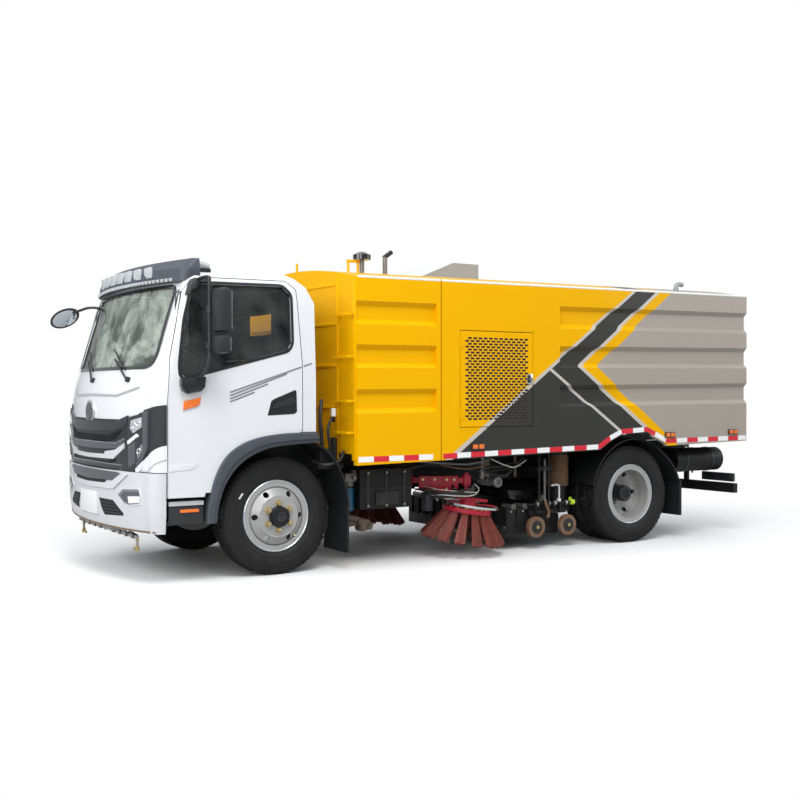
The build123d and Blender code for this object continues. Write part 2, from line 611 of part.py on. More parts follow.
def cab_loft(levels, inset=0, mode=Mode.ADD):
    """Lofts the cab's shape through a list of levels."""
    loft([cab_section(*level, inset) for level in levels], ruled=True, mode=mode)


# Outlines in (station, Z)
DOOR_OUTLINE = [(1000, 684), (1000, 1446), (975, 1776), (862, 2290), (790, 2388), (690, 2412), (-40, 2418),
                (-125, 2345), (-165, 1760), (-165, 1186), (243, 1186), (508, 1081), (646, 902), (690, 684)]
DOOR_WINDOW = [(885, 1640), (890, 1715), (845, 2063), (785, 2297), (720, 2352), (5, 2362), (-62, 2300),
               (-64, 1907), (-30, 1850), (850, 1624)]
LOWER_CUT_Z = 888
FLARE_OUTLINE = [(684, 667), (640, 896), (503, 1075), (240, 1180), (-285, 1180), (-285, 1040), (600, 480),
                 (684, 480)]


def stations(outline):
    """Turns an outline of (station, Z) points into (x, Z) points."""
    return [(at(s), z) for s, z in outline]


def both_sides(outline, y, mode=Mode.SUBTRACT):
    """Extrudes a side outline through both sides of the cab."""
    side_prism(outline, y, mode)
    side_prism(outline, (-y[1], -y[0]), mode)


INNER_LEVELS = CAB_LEVELS[1:7] + [(2400, -120, 1050, 720, 770, 945, 885), (2444, -40, 960, 640, 690, 850, 800)]
WINDSCREEN_FRONT = [(-955, 1790), (-930, 1735), (-860, 1712), (860, 1712), (930, 1735), (955, 1790), (945, 2290),
                    (910, 2335), (-910, 2335), (-945, 2290)]
REAR_WINDOW_FRONT = [(-700, 1800), (700, 1800), (700, 2200), (-700, 2200)]

with BuildPart() as cab_shell:
    cab_loft(CAB_LEVELS)
    cab_loft([(CAB_FLOOR[1],) + INNER_LEVELS[0][1:]] + INNER_LEVELS[1:], CAB_SKIN, Mode.SUBTRACT)
    cab_loft([CAB_LEVELS[0], (CAB_FLOOR[0],) + CAB_LEVELS[1][1:]], CAB_SKIN, Mode.SUBTRACT)
    block((at(-300), at(-200)), (-1090, 1090), (600, CAB_FLOOR[0]), Mode.SUBTRACT)
    block((at(1003), at(1400)), (-1200, 1200), (600, LOWER_CUT_Z), Mode.SUBTRACT)
    both_sides(stations(DOOR_OUTLINE), (900, 1300))
    both_sides([(at(700), 600), (at(700), 1180), (at(-300), 1180), (at(-300), 600)], (1000, 1300))
    block((at(680), at(1010)), (-1300, -1000), (600, 700), Mode.SUBTRACT)
    block((at(680), at(1010)), (1000, 1300), (600, 700), Mode.SUBTRACT)
    front_prism(WINDSCREEN_FRONT, (at(700), at(1300)), Mode.SUBTRACT)
    front_prism(REAR_WINDOW_FRONT, (at(-320), at(-200)), Mode.SUBTRACT)
    twin_blocks((at(1092), at(1164)), (480, 510), (825, CAB_FLOOR[0] + 20))
    rod("y", (CAB_PIVOT[0], 0, CAB_PIVOT[1]), PIN_RADIUS + RUNNING_GAP, 1100, Mode.SUBTRACT)
save(cab_shell.part, "cab_shell")

GLASS = 6
with BuildPart() as cab_glass:
    cab_loft(CAB_LEVELS[4:8], 12)
    cab_loft(CAB_LEVELS[4:8], 12 + GLASS, Mode.SUBTRACT)
    front_prism(WINDSCREEN_FRONT, (at(700), at(1300)), Mode.INTERSECT)
    block((at(-285 + 15), at(-285 + 21)), (-697, 697), (1803, 2197))
save(cab_glass.part, "cab_glass")

with BuildPart() as cab_door:
    cab_loft(CAB_LEVELS)
    cab_loft(CAB_LEVELS[:7] + [(2440, -120, 1050, 720, 770, 945, 885)], CAB_SKIN, Mode.SUBTRACT)
    with BuildSketch(Plane.XZ.offset(-1300)):
        with BuildLine():
            Polyline(*stations(DOOR_OUTLINE), close=True)
        make_face()
        offset(amount=-PANEL_GAP, kind=Kind.INTERSECTION)
    extrude(amount=350, mode=Mode.INTERSECT)
    side_prism(stations(DOOR_WINDOW), (900, 1300), Mode.SUBTRACT)
save_pair(cab_door.part, "cab_door")

with BuildPart() as door_glass:
    cab_loft(CAB_LEVELS[3:8], 18)
    cab_loft(CAB_LEVELS[3:8], 18 + GLASS, Mode.SUBTRACT)
    side_prism(stations(DOOR_WINDOW), (900, 1300), Mode.INTERSECT)
save_pair(door_glass.part, "door_glass")

with BuildPart() as bumper:
    BUMPER_LEVELS = [
        (415, -285, 1120, 1000, 1105, 1005, 1255),
        (560, -285, 1135, 1010, 1125, 1020, 1282),
        (882, -285, 1138, 1010, 1130, 1022, 1282),
    ]
    cab_loft(BUMPER_LEVELS)
    cab_loft(BUMPER_LEVELS, 24, Mode.SUBTRACT)
    block((at(-300), at(1010)), (-1200, 1200), (400, 900), Mode.SUBTRACT)
    twin_blocks((at(1164), at(1200)), (480, 510), (835, 870))
save(bumper.part, "bumper")

with BuildPart() as cab_flares:
    for y in ((1050, 1165), (-1165, -1050)):
        side_prism(stations(FLARE_OUTLINE), y)
    rod("y", (FRONT_AXLE_X, 0, AXLE_Z), 610, 2600, Mode.SUBTRACT)
save(cab_flares.part, "cab_flares")

with BuildPart() as cab_steps:
    twin_blocks((at(700), at(1000)), (930, 1125), (480, 660))
    twin_blocks((at(700), at(1000)), (950, 1130), (500, 640), Mode.SUBTRACT)
    twin_blocks((at(700), at(1000)), (930, 950), (480, CAB_FLOOR[0]))
save(cab_steps.part, "cab_steps")

with BuildPart() as sun_visor:
    VISOR_LEVELS = [
        (2375, 400, 1060, 800, 865, 1000, 1010),
        (2480, 400, 1060, 780, 845, 1000, 985),
        (2560, 400, 1040, 700, 765, 960, 900),
    ]
    cab_loft(VISOR_LEVELS)
    cab_loft(VISOR_LEVELS, 30, Mode.SUBTRACT)
    block((at(300), at(700)), (-1200, 1200), (2300, 2600), Mode.SUBTRACT)
    cab_loft(CAB_LEVELS, mode=Mode.SUBTRACT)
save(sun_visor.part, "sun_visor")

# Outlines seen from the front, in (Y, Z)
GRILLE_FRONT = [(-1300, 1100), (-1010, 900), (-540, 890), (540, 890), (1010, 900), (1300, 1100), (1300, 1440),
                (960, 1370), (870, 1290), (-870, 1290), (-960, 1370), (-1300, 1440)]
HEADLAMP_FRONT = [(520, 1075), (610, 895), (900, 885), (960, 925), (985, 1340), (930, 1350), (780, 1290)]

with BuildPart() as front_grille:
    cab_loft(CAB_LEVELS[:3], -8)
    cab_loft(CAB_LEVELS[:3], mode=Mode.SUBTRACT)
    block((at(-300), at(1006)), (-1300, 1300), (600, 1500), Mode.SUBTRACT)
    front_prism(GRILLE_FRONT, (at(900), at(1300)), Mode.INTERSECT)
    for side in SIDES.values():
        front_prism([(side * y, z) for y, z in HEADLAMP_FRONT], (at(900), at(1300)), Mode.SUBTRACT)
save(front_grille.part, "front_grille")

with BuildPart() as headlamps:
    cab_loft(CAB_LEVELS[:3], -14)
    cab_loft(CAB_LEVELS[:3], mode=Mode.SUBTRACT)
    with BuildSketch(Plane.YZ.offset(at(900))) as lamp_outlines:
        for side in SIDES.values():
            with BuildLine():
                Polyline(*[(side * y, z) for y, z in HEADLAMP_FRONT], close=True)
            make_face()
    extrude(lamp_outlines.sketch, amount=400, mode=Mode.INTERSECT)
save(headlamps.part, "headlamps")

with BuildPart() as lookdown_mirror:
    strut((at(830), -900, 2325), (at(1105), -1230, 2330), 10)
    strut((at(860), -905, 2215), (at(1105), -1230, 2330), 8)
    strut((at(1105), -1230, 2335), (at(1105), -1265, 2210), 10)
    with Locations(Location((at(1115), -1270, 2205), (0, 60, -30))):
        Cylinder(92, 46)
    cab_loft(CAB_LEVELS, mode=Mode.SUBTRACT)
save(lookdown_mirror.part, "lookdown_mirror")

with BuildPart() as wipers:
    for y in (-289, 650):
        rod("x", (at(1160), y, 1610), 22, 130)
    cab_loft(CAB_LEVELS, mode=Mode.SUBTRACT)
save(wipers.part, "wipers")

with BuildPart() as mirror_arm:
    rod("z", (at(720), 1290, 2015), 14, 780)
    block((at(706), at(734)), (1040, 1290), (2370, 2394))
    block((at(706), at(734)), (1100, 1300), (1600, 1640))
    block((at(640), at(715)), (1290, 1480), (1975, 2290))
    block((at(640), at(715)), (1290, 1460), (1800, 1940))
    cab_loft(CAB_LEVELS, mode=Mode.SUBTRACT)
save_pair(mirror_arm.part, "mirror")

with BuildPart() as seats:
    for y in (-560, 560):
        block((at(-60), at(420)), (y - 240, y + 240), (CAB_FLOOR[1], 1560))
        block((at(-120), at(0)), (y - 230, y + 230), (1500, 2240))
save(seats.part, "seats")

STEERING_Y = 560
with BuildPart() as dashboard:
    block((at(760), at(960)), (-1000, 1000), (CAB_FLOOR[1], 1640))
    strut((at(800), STEERING_Y, 1480), (at(600), STEERING_Y, 1800), 24)
    wheel_plane = Plane(origin=(at(600), STEERING_Y, 1800), z_dir=(-200, 0, 320))
    with Locations(wheel_plane.location):
        Torus(225, 15)
        Box(440, 40, 14)
save(dashboard.part, "dashboard")
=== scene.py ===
"""Street sweeper truck: finishes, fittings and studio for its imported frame."""

import json
import logging
import math
import random
from collections.abc import Callable, Iterable, Sequence
from dataclasses import dataclass
from enum import Enum

import bmesh
import bpy
from mathutils import Matrix, Vector
from mathutils.bvhtree import BVHTree

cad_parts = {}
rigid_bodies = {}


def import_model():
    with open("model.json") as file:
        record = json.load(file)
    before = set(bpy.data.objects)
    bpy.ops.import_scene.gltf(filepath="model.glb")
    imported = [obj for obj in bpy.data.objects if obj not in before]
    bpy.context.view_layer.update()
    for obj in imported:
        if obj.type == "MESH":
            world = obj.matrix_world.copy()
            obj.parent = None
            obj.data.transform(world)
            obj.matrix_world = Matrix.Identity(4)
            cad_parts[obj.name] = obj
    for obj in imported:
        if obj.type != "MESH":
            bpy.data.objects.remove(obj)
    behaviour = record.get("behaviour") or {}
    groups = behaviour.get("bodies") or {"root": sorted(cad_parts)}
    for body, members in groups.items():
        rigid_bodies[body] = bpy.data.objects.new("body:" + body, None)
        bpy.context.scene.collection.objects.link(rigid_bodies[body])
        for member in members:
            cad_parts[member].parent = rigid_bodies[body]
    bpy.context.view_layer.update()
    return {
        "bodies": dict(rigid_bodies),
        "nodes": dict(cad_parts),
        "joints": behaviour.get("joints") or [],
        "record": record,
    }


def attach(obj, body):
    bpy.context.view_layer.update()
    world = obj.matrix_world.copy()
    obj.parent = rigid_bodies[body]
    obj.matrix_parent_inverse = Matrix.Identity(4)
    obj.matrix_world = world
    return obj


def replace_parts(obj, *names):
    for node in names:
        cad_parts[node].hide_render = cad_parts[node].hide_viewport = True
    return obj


log = logging.getLogger("sweeper")

Point2 = tuple[float, float]
Point3 = tuple[float, float, float]
Colour = tuple[float, float, float]
Outline = tuple[Point2, ...]
Route = tuple[Point3, ...]
Nodes = dict[str, bpy.types.Object]
BMesh = bmesh.types.BMesh
Face = bmesh.types.BMFace

AXLE_X = 2.084
AXLE_Z = 0.485
REAR_AXLE_X = AXLE_X - 3.9
BODY_SIDE = 1.225
COAT_ROUGHNESS = 0.04
GRAIN_STRENGTH = 0.6
SHARP_EDGE = 28
FORM_ANGLE = 34
COAT_ANGLE = 24
SAME_SPOT = 1e-6
ORIGIN = (0, 0, 0)
UP = (0, 0, 1)


def at(station: float) -> float:
    """Returns the X of a station measured from the front axle line."""
    return AXLE_X + station


class Side(Enum):
    """The vehicle's two sides, by the sign of Y."""

    LEFT = 1
    RIGHT = -1

    def tag(self) -> str:
        """Returns the word that ends a node's name."""
        return self.name.lower()


# ---------------------------------------------------------------- node trees


class Wires:
    """Adds nodes to one tree and joins them."""

    def __init__(self, tree: bpy.types.NodeTree) -> None:
        """Keeps the tree."""
        self.tree = tree

    def add(self, kind: str, values: dict[str | int, object] | None = None,
            **settings: object) -> bpy.types.Node:
        """Adds a node.

        Args:
            kind: The node's type.
            values: Default values of its inputs, by name or number.
            settings: The node's own properties, which are set first.

        Returns:
            The new node.
        """
        node = self.tree.nodes.new(kind)
        for name, value in settings.items():
            setattr(node, name, value)
        for key, value in (values or {}).items():
            node.inputs[key].default_value = value
        return node

    def join(self, *links: tuple[bpy.types.Node, str | int, bpy.types.Node, str | int]) -> None:
        """Joins nodes, each link given as a node, its output, the next node and its input."""
        for source, output, target, socket in links:
            self.tree.links.new(source.outputs[output], target.inputs[socket])


def new_material(name: str, values: dict[str, object]) -> tuple[bpy.types.Material, Wires, bpy.types.Node]:
    """Makes a material with a plain shader.

    Args:
        name: The material's name.
        values: Default values of the shader's inputs.

    Returns:
        The material, its wires and its shader node.
    """
    material = bpy.data.materials.new(name)
    material.use_nodes = True
    shader = material.node_tree.nodes["Principled BSDF"]
    for key, value in values.items():
        shader.inputs[key].default_value = value
    return material, Wires(material.node_tree), shader


def new_object(name: str, data: bpy.types.ID) -> bpy.types.Object:
    """Returns a new object of the scene that shows the data."""
    made = bpy.data.objects.new(name, data)
    bpy.context.scene.collection.objects.link(made)
    return made


class ShaderGroups:
    """Node groups that several finishes share, each built once."""

    def __init__(self) -> None:
        """Builds every group."""
        self.mottle = self._mottle()
        self.grain = self._grain()
        self.road_dirt = self._road_dirt()

    @staticmethod
    def _shell(name: str, inputs: Sequence[tuple[str, str, object]],
               outputs: Sequence[tuple[str, str]]) -> tuple[Wires, bpy.types.Node, bpy.types.Node]:
        """Makes an empty group with named sockets.

        Args:
            name: The group's name.
            inputs: Socket name, type and default value of each input.
            outputs: Socket name and type of each output.

        Returns:
            The group's wires, its input node and its output node.
        """
        group = bpy.data.node_groups.new(name, "ShaderNodeTree")
        for label, kind, value in inputs:
            socket = group.interface.new_socket(label, in_out="INPUT", socket_type=f"NodeSocket{kind}")
            socket.default_value = value
        for label, kind in outputs:
            group.interface.new_socket(label, in_out="OUTPUT", socket_type=f"NodeSocket{kind}")
        wires = Wires(group)
        return wires, wires.add("NodeGroupInput"), wires.add("NodeGroupOutput")

    def _mottle(self) -> bpy.types.ShaderNodeTree:
        """Varies a colour and a roughness slowly over the surface."""
        wires, inp, out = self._shell(
            "mottle", [("Colour", "Color", (1, 1, 1, 1)), ("Scale", "Float", 3.0), ("Amount", "Float", 0.1),
                       ("Roughness", "Float", 0.4)], [("Colour", "Color"), ("Roughness", "Float")])
        place = wires.add("ShaderNodeTexCoord")
        noise = wires.add("ShaderNodeTexNoise", {"Detail": 5})
        shift = wires.add("ShaderNodeMath", {1: 0.5}, operation="SUBTRACT")
        gain = wires.add("ShaderNodeMath", operation="MULTIPLY")
        lift = wires.add("ShaderNodeMath", {1: 1.0}, operation="ADD")
        tone = wires.add("ShaderNodeHueSaturation")
        rough = wires.add("ShaderNodeMath", operation="ADD", use_clamp=True)
        wires.join((place, "Object", noise, "Vector"), (inp, "Scale", noise, "Scale"),
                   (noise, "Fac", shift, 0), (shift, 0, gain, 0), (inp, "Amount", gain, 1),
                   (gain, 0, lift, 0), (lift, 0, tone, "Value"), (inp, "Colour", tone, "Color"),
                   (inp, "Roughness", rough, 0), (gain, 0, rough, 1), (tone, "Color", out, "Colour"),
                   (rough, 0, out, "Roughness"))
        return wires.tree

    def _grain(self) -> bpy.types.ShaderNodeTree:
        """Gives a fine bump height."""
        wires, inp, out = self._shell("grain", [("Scale", "Float", 200.0)], [("Height", "Float")])
        place = wires.add("ShaderNodeTexCoord")
        noise = wires.add("ShaderNodeTexNoise", {"Detail": 3})
        wires.join((place, "Object", noise, "Vector"), (inp, "Scale", noise, "Scale"),
                   (noise, "Fac", out, "Height"))
        return wires.tree

    def _road_dirt(self) -> bpy.types.ShaderNodeTree:
        """Mixes road dust into a colour, thicker towards the ground."""
        wires, inp, out = self._shell(
            "road_dirt", [("Colour", "Color", (1, 1, 1, 1)), ("Dust", "Color", (0.3, 0.27, 0.23, 1)),
                          ("Amount", "Float", 0.3), ("Top", "Float", 1.0)], [("Colour", "Color")])
        place = wires.add("ShaderNodeTexCoord")
        split = wires.add("ShaderNodeSeparateXYZ")
        fall = wires.add("ShaderNodeMapRange", {"From Min": 0.0, "To Min": 1.0, "To Max": 0.0})
        noise = wires.add("ShaderNodeTexNoise", {"Scale": 9.0, "Detail": 7})
        sharp = wires.add("ShaderNodeMapRange", {"From Min": 0.35, "From Max": 0.72})
        both = wires.add("ShaderNodeMath", operation="MULTIPLY")
        mask = wires.add("ShaderNodeMath", operation="MULTIPLY", use_clamp=True)
        mix = wires.add("ShaderNodeMix", data_type="RGBA")
        wires.join((place, "Object", split, 0), (split, "Z", fall, "Value"), (inp, "Top", fall, "From Max"),
                   (place, "Object", noise, "Vector"), (noise, "Fac", sharp, "Value"), (fall, 0, both, 0),
                   (sharp, 0, both, 1), (both, 0, mask, 0), (inp, "Amount", mask, 1),
                   (mask, 0, mix, "Factor"), (inp, "Colour", mix, "A"), (inp, "Dust", mix, "B"),
                   (mix, "Result", out, "Colour"))
        return wires.tree


# ---------------------------------------------------------------- finishes


@dataclass(frozen=True)
class Finish:
    """One finish: a colour with its sheen, its unevenness, its grain and its dirt."""

    name: str
    colour: Colour
    roughness: float = 0.4
    metallic: float = 0.0
    coat: float = 0.0
    specular: float = 0.4
    mottle: float = 0.06
    mottle_scale: float = 2.5
    grain_scale: float = 60.0
    grain_depth: float = 0.0
    dirt: float = 0.0
    dirt_top: float = 1.2
    dust: Colour = (0.22, 0.20, 0.17)

    def build(self, groups: ShaderGroups) -> bpy.types.Material:
        """Builds the material.

        Args:
            groups: The shared node groups.

        Returns:
            The new material.
        """
        material, wires, shader = new_material(self.name, {
            "Metallic": self.metallic, "Coat Weight": self.coat, "Coat Roughness": COAT_ROUGHNESS,
            "Specular IOR Level": self.specular})
        mottle = last = wires.add(
            "ShaderNodeGroup", {"Colour": (*self.colour, 1), "Scale": self.mottle_scale,
                                "Amount": self.mottle, "Roughness": self.roughness}, node_tree=groups.mottle)
        if self.dirt:
            last = wires.add("ShaderNodeGroup", {"Dust": (*self.dust, 1), "Amount": self.dirt,
                                                 "Top": self.dirt_top}, node_tree=groups.road_dirt)
            wires.join((mottle, "Colour", last, "Colour"))
        wires.join((last, "Colour", shader, "Base Color"), (mottle, "Roughness", shader, "Roughness"))
        if self.grain_depth:
            grain = wires.add("ShaderNodeGroup", {"Scale": self.grain_scale}, node_tree=groups.grain)
            bump = wires.add("ShaderNodeBump", {"Strength": GRAIN_STRENGTH, "Distance": self.grain_depth})
            wires.join((grain, "Height", bump, "Height"), (bump, "Normal", shader, "Normal"))
        return material


@dataclass(frozen=True)
class Glass:
    """Tinted glass that is seen from the side its faces point to."""

    name: str
    dark: Colour
    # The light tone is the colour of the painted reflection.
    light: Colour
    veil: float

    def build(self) -> bpy.types.Material:
        """Builds the material: a painted reflection, noise mixing the dark tint with the light tone in its
        colour, and a veil over what is behind the glass.
        """
        material, wires, shader = new_material(self.name, {"Roughness": 0.03, "Specular IOR Level": 0.35})
        place = wires.add("ShaderNodeTexCoord")
        noise = wires.add("ShaderNodeTexNoise", {"Scale": 3.1, "Detail": 8, "Roughness": 0.66,
                                                 "Distortion": 0.5})
        sharp = wires.add("ShaderNodeMapRange", {"From Min": 0.40, "From Max": 0.62})
        mix = wires.add("ShaderNodeMix", {"A": (*self.dark, 1), "B": (*self.light, 1)}, data_type="RGBA")
        facing = wires.add("ShaderNodeNewGeometry")
        front = wires.add("ShaderNodeMath", {0: 1.0}, operation="SUBTRACT")
        cover = wires.add("ShaderNodeMath", {1: self.veil}, operation="MULTIPLY")
        wires.join((place, "Object", noise, "Vector"), (noise, "Fac", sharp, "Value"),
                   (sharp, 0, mix, "Factor"), (mix, "Result", shader, "Base Color"),
                   (facing, "Backfacing", front, 1), (front, 0, cover, 0), (cover, 0, shader, "Alpha"))
        return material


FINISHES = [
    Finish("cab_white", (0.655, 0.67, 0.695), 0.24, coat=0.4, mottle=0.03, dirt=0.12, dirt_top=0.9),
    # The cab's white, darker for the bumper of the same white: painted shade.
    Finish("bumper_white", (0.55, 0.565, 0.585), 0.26, coat=0.3, mottle=0.03, dirt=0.12, dirt_top=0.9),
    Finish("body_yellow", (0.77, 0.395, 0.0), 0.36, coat=0.06, specular=0.06, mottle=0.06, mottle_scale=1.2,
           grain_scale=7, grain_depth=0.0006, dirt=0.06),
    Finish("body_charcoal", (0.030, 0.031, 0.028), 0.36, coat=0.05, specular=0.25, mottle=0.12, grain_scale=7,
           grain_depth=0.0006, dirt=0.06),
    Finish("body_grey", (0.335, 0.300, 0.262), 0.36, coat=0.06, specular=0.3, mottle=0.05, grain_scale=7,
           grain_depth=0.0006, dirt=0.08),
    Finish("hood_grey", (0.30, 0.315, 0.33), 0.38, coat=0.1, mottle=0.06),
    # Paler copy of the hood's grey, painted light on the hood's upward faces in front.
    Finish("hood_pale", (0.80, 0.80, 0.79), 0.34, coat=0.2, mottle=0.05),
    Finish("flare_grey", (0.048, 0.056, 0.070), 0.5, specular=0.4, mottle=0.1, grain_scale=900,
           grain_depth=0.0004, dirt=0.12),
    Finish("guard_black", (0.010, 0.011, 0.012), 0.5, specular=0.3, mottle=0.2, grain_scale=300,
           grain_depth=0.0005, dirt=0.12, dust=(0.06, 0.055, 0.05)),
    Finish("frame_black", (0.010, 0.010, 0.011), 0.5, specular=0.3, mottle=0.3, grain_scale=60,
           grain_depth=0.0008, dirt=0.25, dust=(0.05, 0.042, 0.034)),
    Finish("engine_black", (0.018, 0.018, 0.019), 0.6, specular=0.3, mottle=0.3, grain_scale=80,
           grain_depth=0.001, dirt=0.4, dust=(0.05, 0.042, 0.034)),
    Finish("engine_grey", (0.09, 0.09, 0.09), 0.6, metallic=0.3, mottle=0.3, grain_scale=80,
           grain_depth=0.001, dirt=0.5),
    Finish("wheel_silver", (0.405, 0.405, 0.40), 0.38, metallic=0.3, mottle=0.2, mottle_scale=9, dirt=0.35,
           dirt_top=1.0),
    Finish("tyre_black", (0.0100, 0.0100, 0.0108), 0.62, specular=0.3, mottle=0.25, mottle_scale=6,
           grain_scale=350, grain_depth=0.0006, dirt=0.25, dust=(0.05, 0.047, 0.043)),
    Finish("caster_brown", (0.17, 0.075, 0.03), 0.6, mottle=0.4, mottle_scale=25, grain_scale=160,
           grain_depth=0.0008, dirt=0.5),
    Finish("trim_black", (0.018, 0.019, 0.022), 0.42, mottle=0.15, grain_scale=1200, grain_depth=0.0003,
           dirt=0.1),
    Finish("gloss_black", (0.012, 0.012, 0.014), 0.12, coat=0.6, mottle=0.1),
    Finish("lamp_lens", (0.62, 0.66, 0.70), 0.08, metallic=0.55, coat=1.0, mottle=0.35, mottle_scale=22),
    Finish("lamp_orange", (0.75, 0.16, 0.015), 0.22, coat=0.8, mottle=0.35, mottle_scale=45),
    Finish("lamp_red", (0.5, 0.02, 0.02), 0.2, coat=0.8, mottle=0.3, mottle_scale=45),
    Finish("brush_red", (0.44, 0.008, 0.030), 0.4, coat=0.1, mottle=0.3, mottle_scale=12, grain_scale=90,
           grain_depth=0.001, dirt=0.35, dust=(0.12, 0.05, 0.04)),
    Finish("tuft_red", (0.225, 0.052, 0.039), 0.7, mottle=0.9, mottle_scale=30, dirt=0.4, dirt_top=0.5,
           dust=(0.24, 0.13, 0.10)),
    Finish("seat_fabric", (0.06, 0.062, 0.07), 0.85, mottle=0.2, grain_scale=700, grain_depth=0.0008),
    Finish("chrome", (0.72, 0.73, 0.74), 0.12, metallic=1.0, mottle=0.06),
    Finish("bright_silver", (0.60, 0.62, 0.64), 0.28, metallic=0.7, coat=0.3, mottle=0.06),
    Finish("zinc_steel", (0.42, 0.42, 0.41), 0.42, metallic=0.8, mottle=0.35, mottle_scale=14, dirt=0.3),
    Finish("brass", (0.60, 0.46, 0.20), 0.35, metallic=0.9, mottle=0.3, mottle_scale=30),
    Finish("hose_black", (0.02, 0.02, 0.021), 0.5, mottle=0.3, mottle_scale=18, dirt=0.4),
    Finish("hose_brown", (0.16, 0.085, 0.04), 0.6, mottle=0.45, mottle_scale=12, dirt=0.4),
    Finish("cylinder_blue", (0.0, 0.12, 0.25), 0.32, coat=0.4, mottle=0.2, mottle_scale=9, dirt=0.3),
    Finish("cap_green", (0.55, 0.80, 0.05), 0.4, mottle=0.15),
    Finish("tape_red", (0.62, 0.012, 0.03), 0.35, coat=0.3, mottle=0.12, mottle_scale=18),
    Finish("tape_white", (0.80, 0.80, 0.80), 0.35, coat=0.3, mottle=0.08, mottle_scale=18),
    Finish("plate_white", (0.70, 0.70, 0.71), 0.40, mottle=0.02),
    Finish("bar_bright", (0.74, 0.75, 0.77), 0.22, metallic=0.35, coat=0.5, mottle=0.05),
    Finish("rail_white", (0.78, 0.77, 0.74), 0.35, coat=0.2, mottle=0.06),
    Finish("stripe_grey", (0.20, 0.20, 0.21), 0.35, mottle=0.1),
    Finish("grille_silver", (0.22, 0.235, 0.25), 0.34, metallic=0.4, coat=0.2, mottle=0.08),
    Finish("insert_grey", (0.085, 0.092, 0.10), 0.36, metallic=0.2, coat=0.2, mottle=0.1),
    # Grey of the strip under the windscreen, painted shade along the ledge there.
    Finish("ledge_grey", (0.33, 0.34, 0.35), 0.4, mottle=0.1),
    Finish("visor_pale", (0.45, 0.47, 0.49), 0.25, coat=0.4, mottle=0.25, mottle_scale=14),
    Finish("stripe_beige", (0.50, 0.46, 0.40), 0.36, coat=0.2, mottle=0.06),
    # The cab's dark inside: partly its lining, partly painted shade on the rims in its gaps.
    Finish("cab_lining", (0.045, 0.046, 0.05), 0.75, mottle=0.15, grain_scale=500, grain_depth=0.0004),
    Finish("lamp_case", (0.03, 0.018, 0.012), 0.35, coat=0.3, mottle=0.2),
    Finish("pipe_grey", (0.20, 0.20, 0.19), 0.45, metallic=0.5, mottle=0.3, mottle_scale=16, dirt=0.2),
    Finish("cast_brown", (0.17, 0.13, 0.10), 0.7, mottle=0.5, mottle_scale=22, grain_scale=120,
           grain_depth=0.002),
    Finish("bottle_white", (0.62, 0.63, 0.60), 0.4, mottle=0.1),
    Finish("lamp_clear", (0.78, 0.80, 0.82), 0.1, coat=1.0, mottle=0.2, mottle_scale=40),
    Finish("grille_grey", (0.026, 0.028, 0.032), 0.30, coat=0.25, mottle=0.1),
    # Dark for slots, gaps and intakes: painted shade in openings.
    Finish("gap_dark", (0.012, 0.012, 0.013), 0.8, mottle=0.1),
    Finish("mirror_glass", (0.55, 0.60, 0.64), 0.03, metallic=1.0, mottle=0.02),
]


GLASSES = [
    # Each pane's second colour is its painted reflection.
    Glass("screen_glass", (0.075, 0.098, 0.078), (0.51, 0.57, 0.51), 0.62),
    Glass("door_glass", (0.016, 0.021, 0.020), (0.11, 0.125, 0.12), 0.36),
    Glass("clear_glass", (0.02, 0.02, 0.02), (0.03, 0.03, 0.03), 0.04),
    # Inner faces of the panes: a nearly opaque dark sheet, painted shade of the cab's inside seen through the
    # far windows.
    Glass("inner_glass", (0.012, 0.014, 0.014), (0.03, 0.034, 0.034), 0.97),
]


class Palette:
    """Every material of the truck, by its finish's name."""

    def __init__(self) -> None:
        """Builds the shared groups and all the materials."""
        groups = ShaderGroups()
        self._made = {finish.name: finish.build(groups) for finish in FINISHES}
        self._made.update({glass.name: glass.build() for glass in GLASSES})

    def __getitem__(self, name: str) -> bpy.types.Material:
        """Returns the material of that name."""
        return self._made[name]


# ---------------------------------------------------------------- modelling tools


class Facing(Enum):
    """Where a flat outline is seen from: its across, up and outward axes."""

    FRONT = ((0, 1, 0), UP, (1, 0, 0))
    REAR = ((0, 1, 0), UP, (-1, 0, 0))
    LEFT = ((1, 0, 0), UP, (0, 1, 0))
    RIGHT = ((1, 0, 0), UP, (0, -1, 0))
    TOP = ((1, 0, 0), (0, 1, 0), (0, 0, 1))

    def spot(self, u: float, v: float, w: float) -> Vector:
        """Returns the point at u across, v up and w outward."""
        across, up, outward = (Vector(axis) for axis in self.value)
        return across * u + up * v + outward * w

    def outward(self) -> Vector:
        """Returns the direction that the outline faces."""
        return Vector(self.value[2])

    @staticmethod
    def of(side: Side) -> "Facing":
        """Returns the facing of one side of the vehicle."""
        return Facing.LEFT if side is Side.LEFT else Facing.RIGHT


def turns(count: int, shift: float = 0.0) -> list[float]:
    """Returns the angles that divide a circle evenly, from a shift in steps onwards."""
    return [2 * math.pi * (k + shift) / count for k in range(count)]


def square_axes(axis: Sequence[float]) -> tuple[Vector, Vector, Vector]:
    """Returns an axis as a unit vector and two more at right angles to it."""
    main_axis = Vector(axis).normalized()
    helper = Vector((0, 0, 1)) if abs(main_axis.z) < 0.9 else Vector((1, 0, 0))
    first = main_axis.cross(helper).normalized()
    return main_axis, first, main_axis.cross(first)


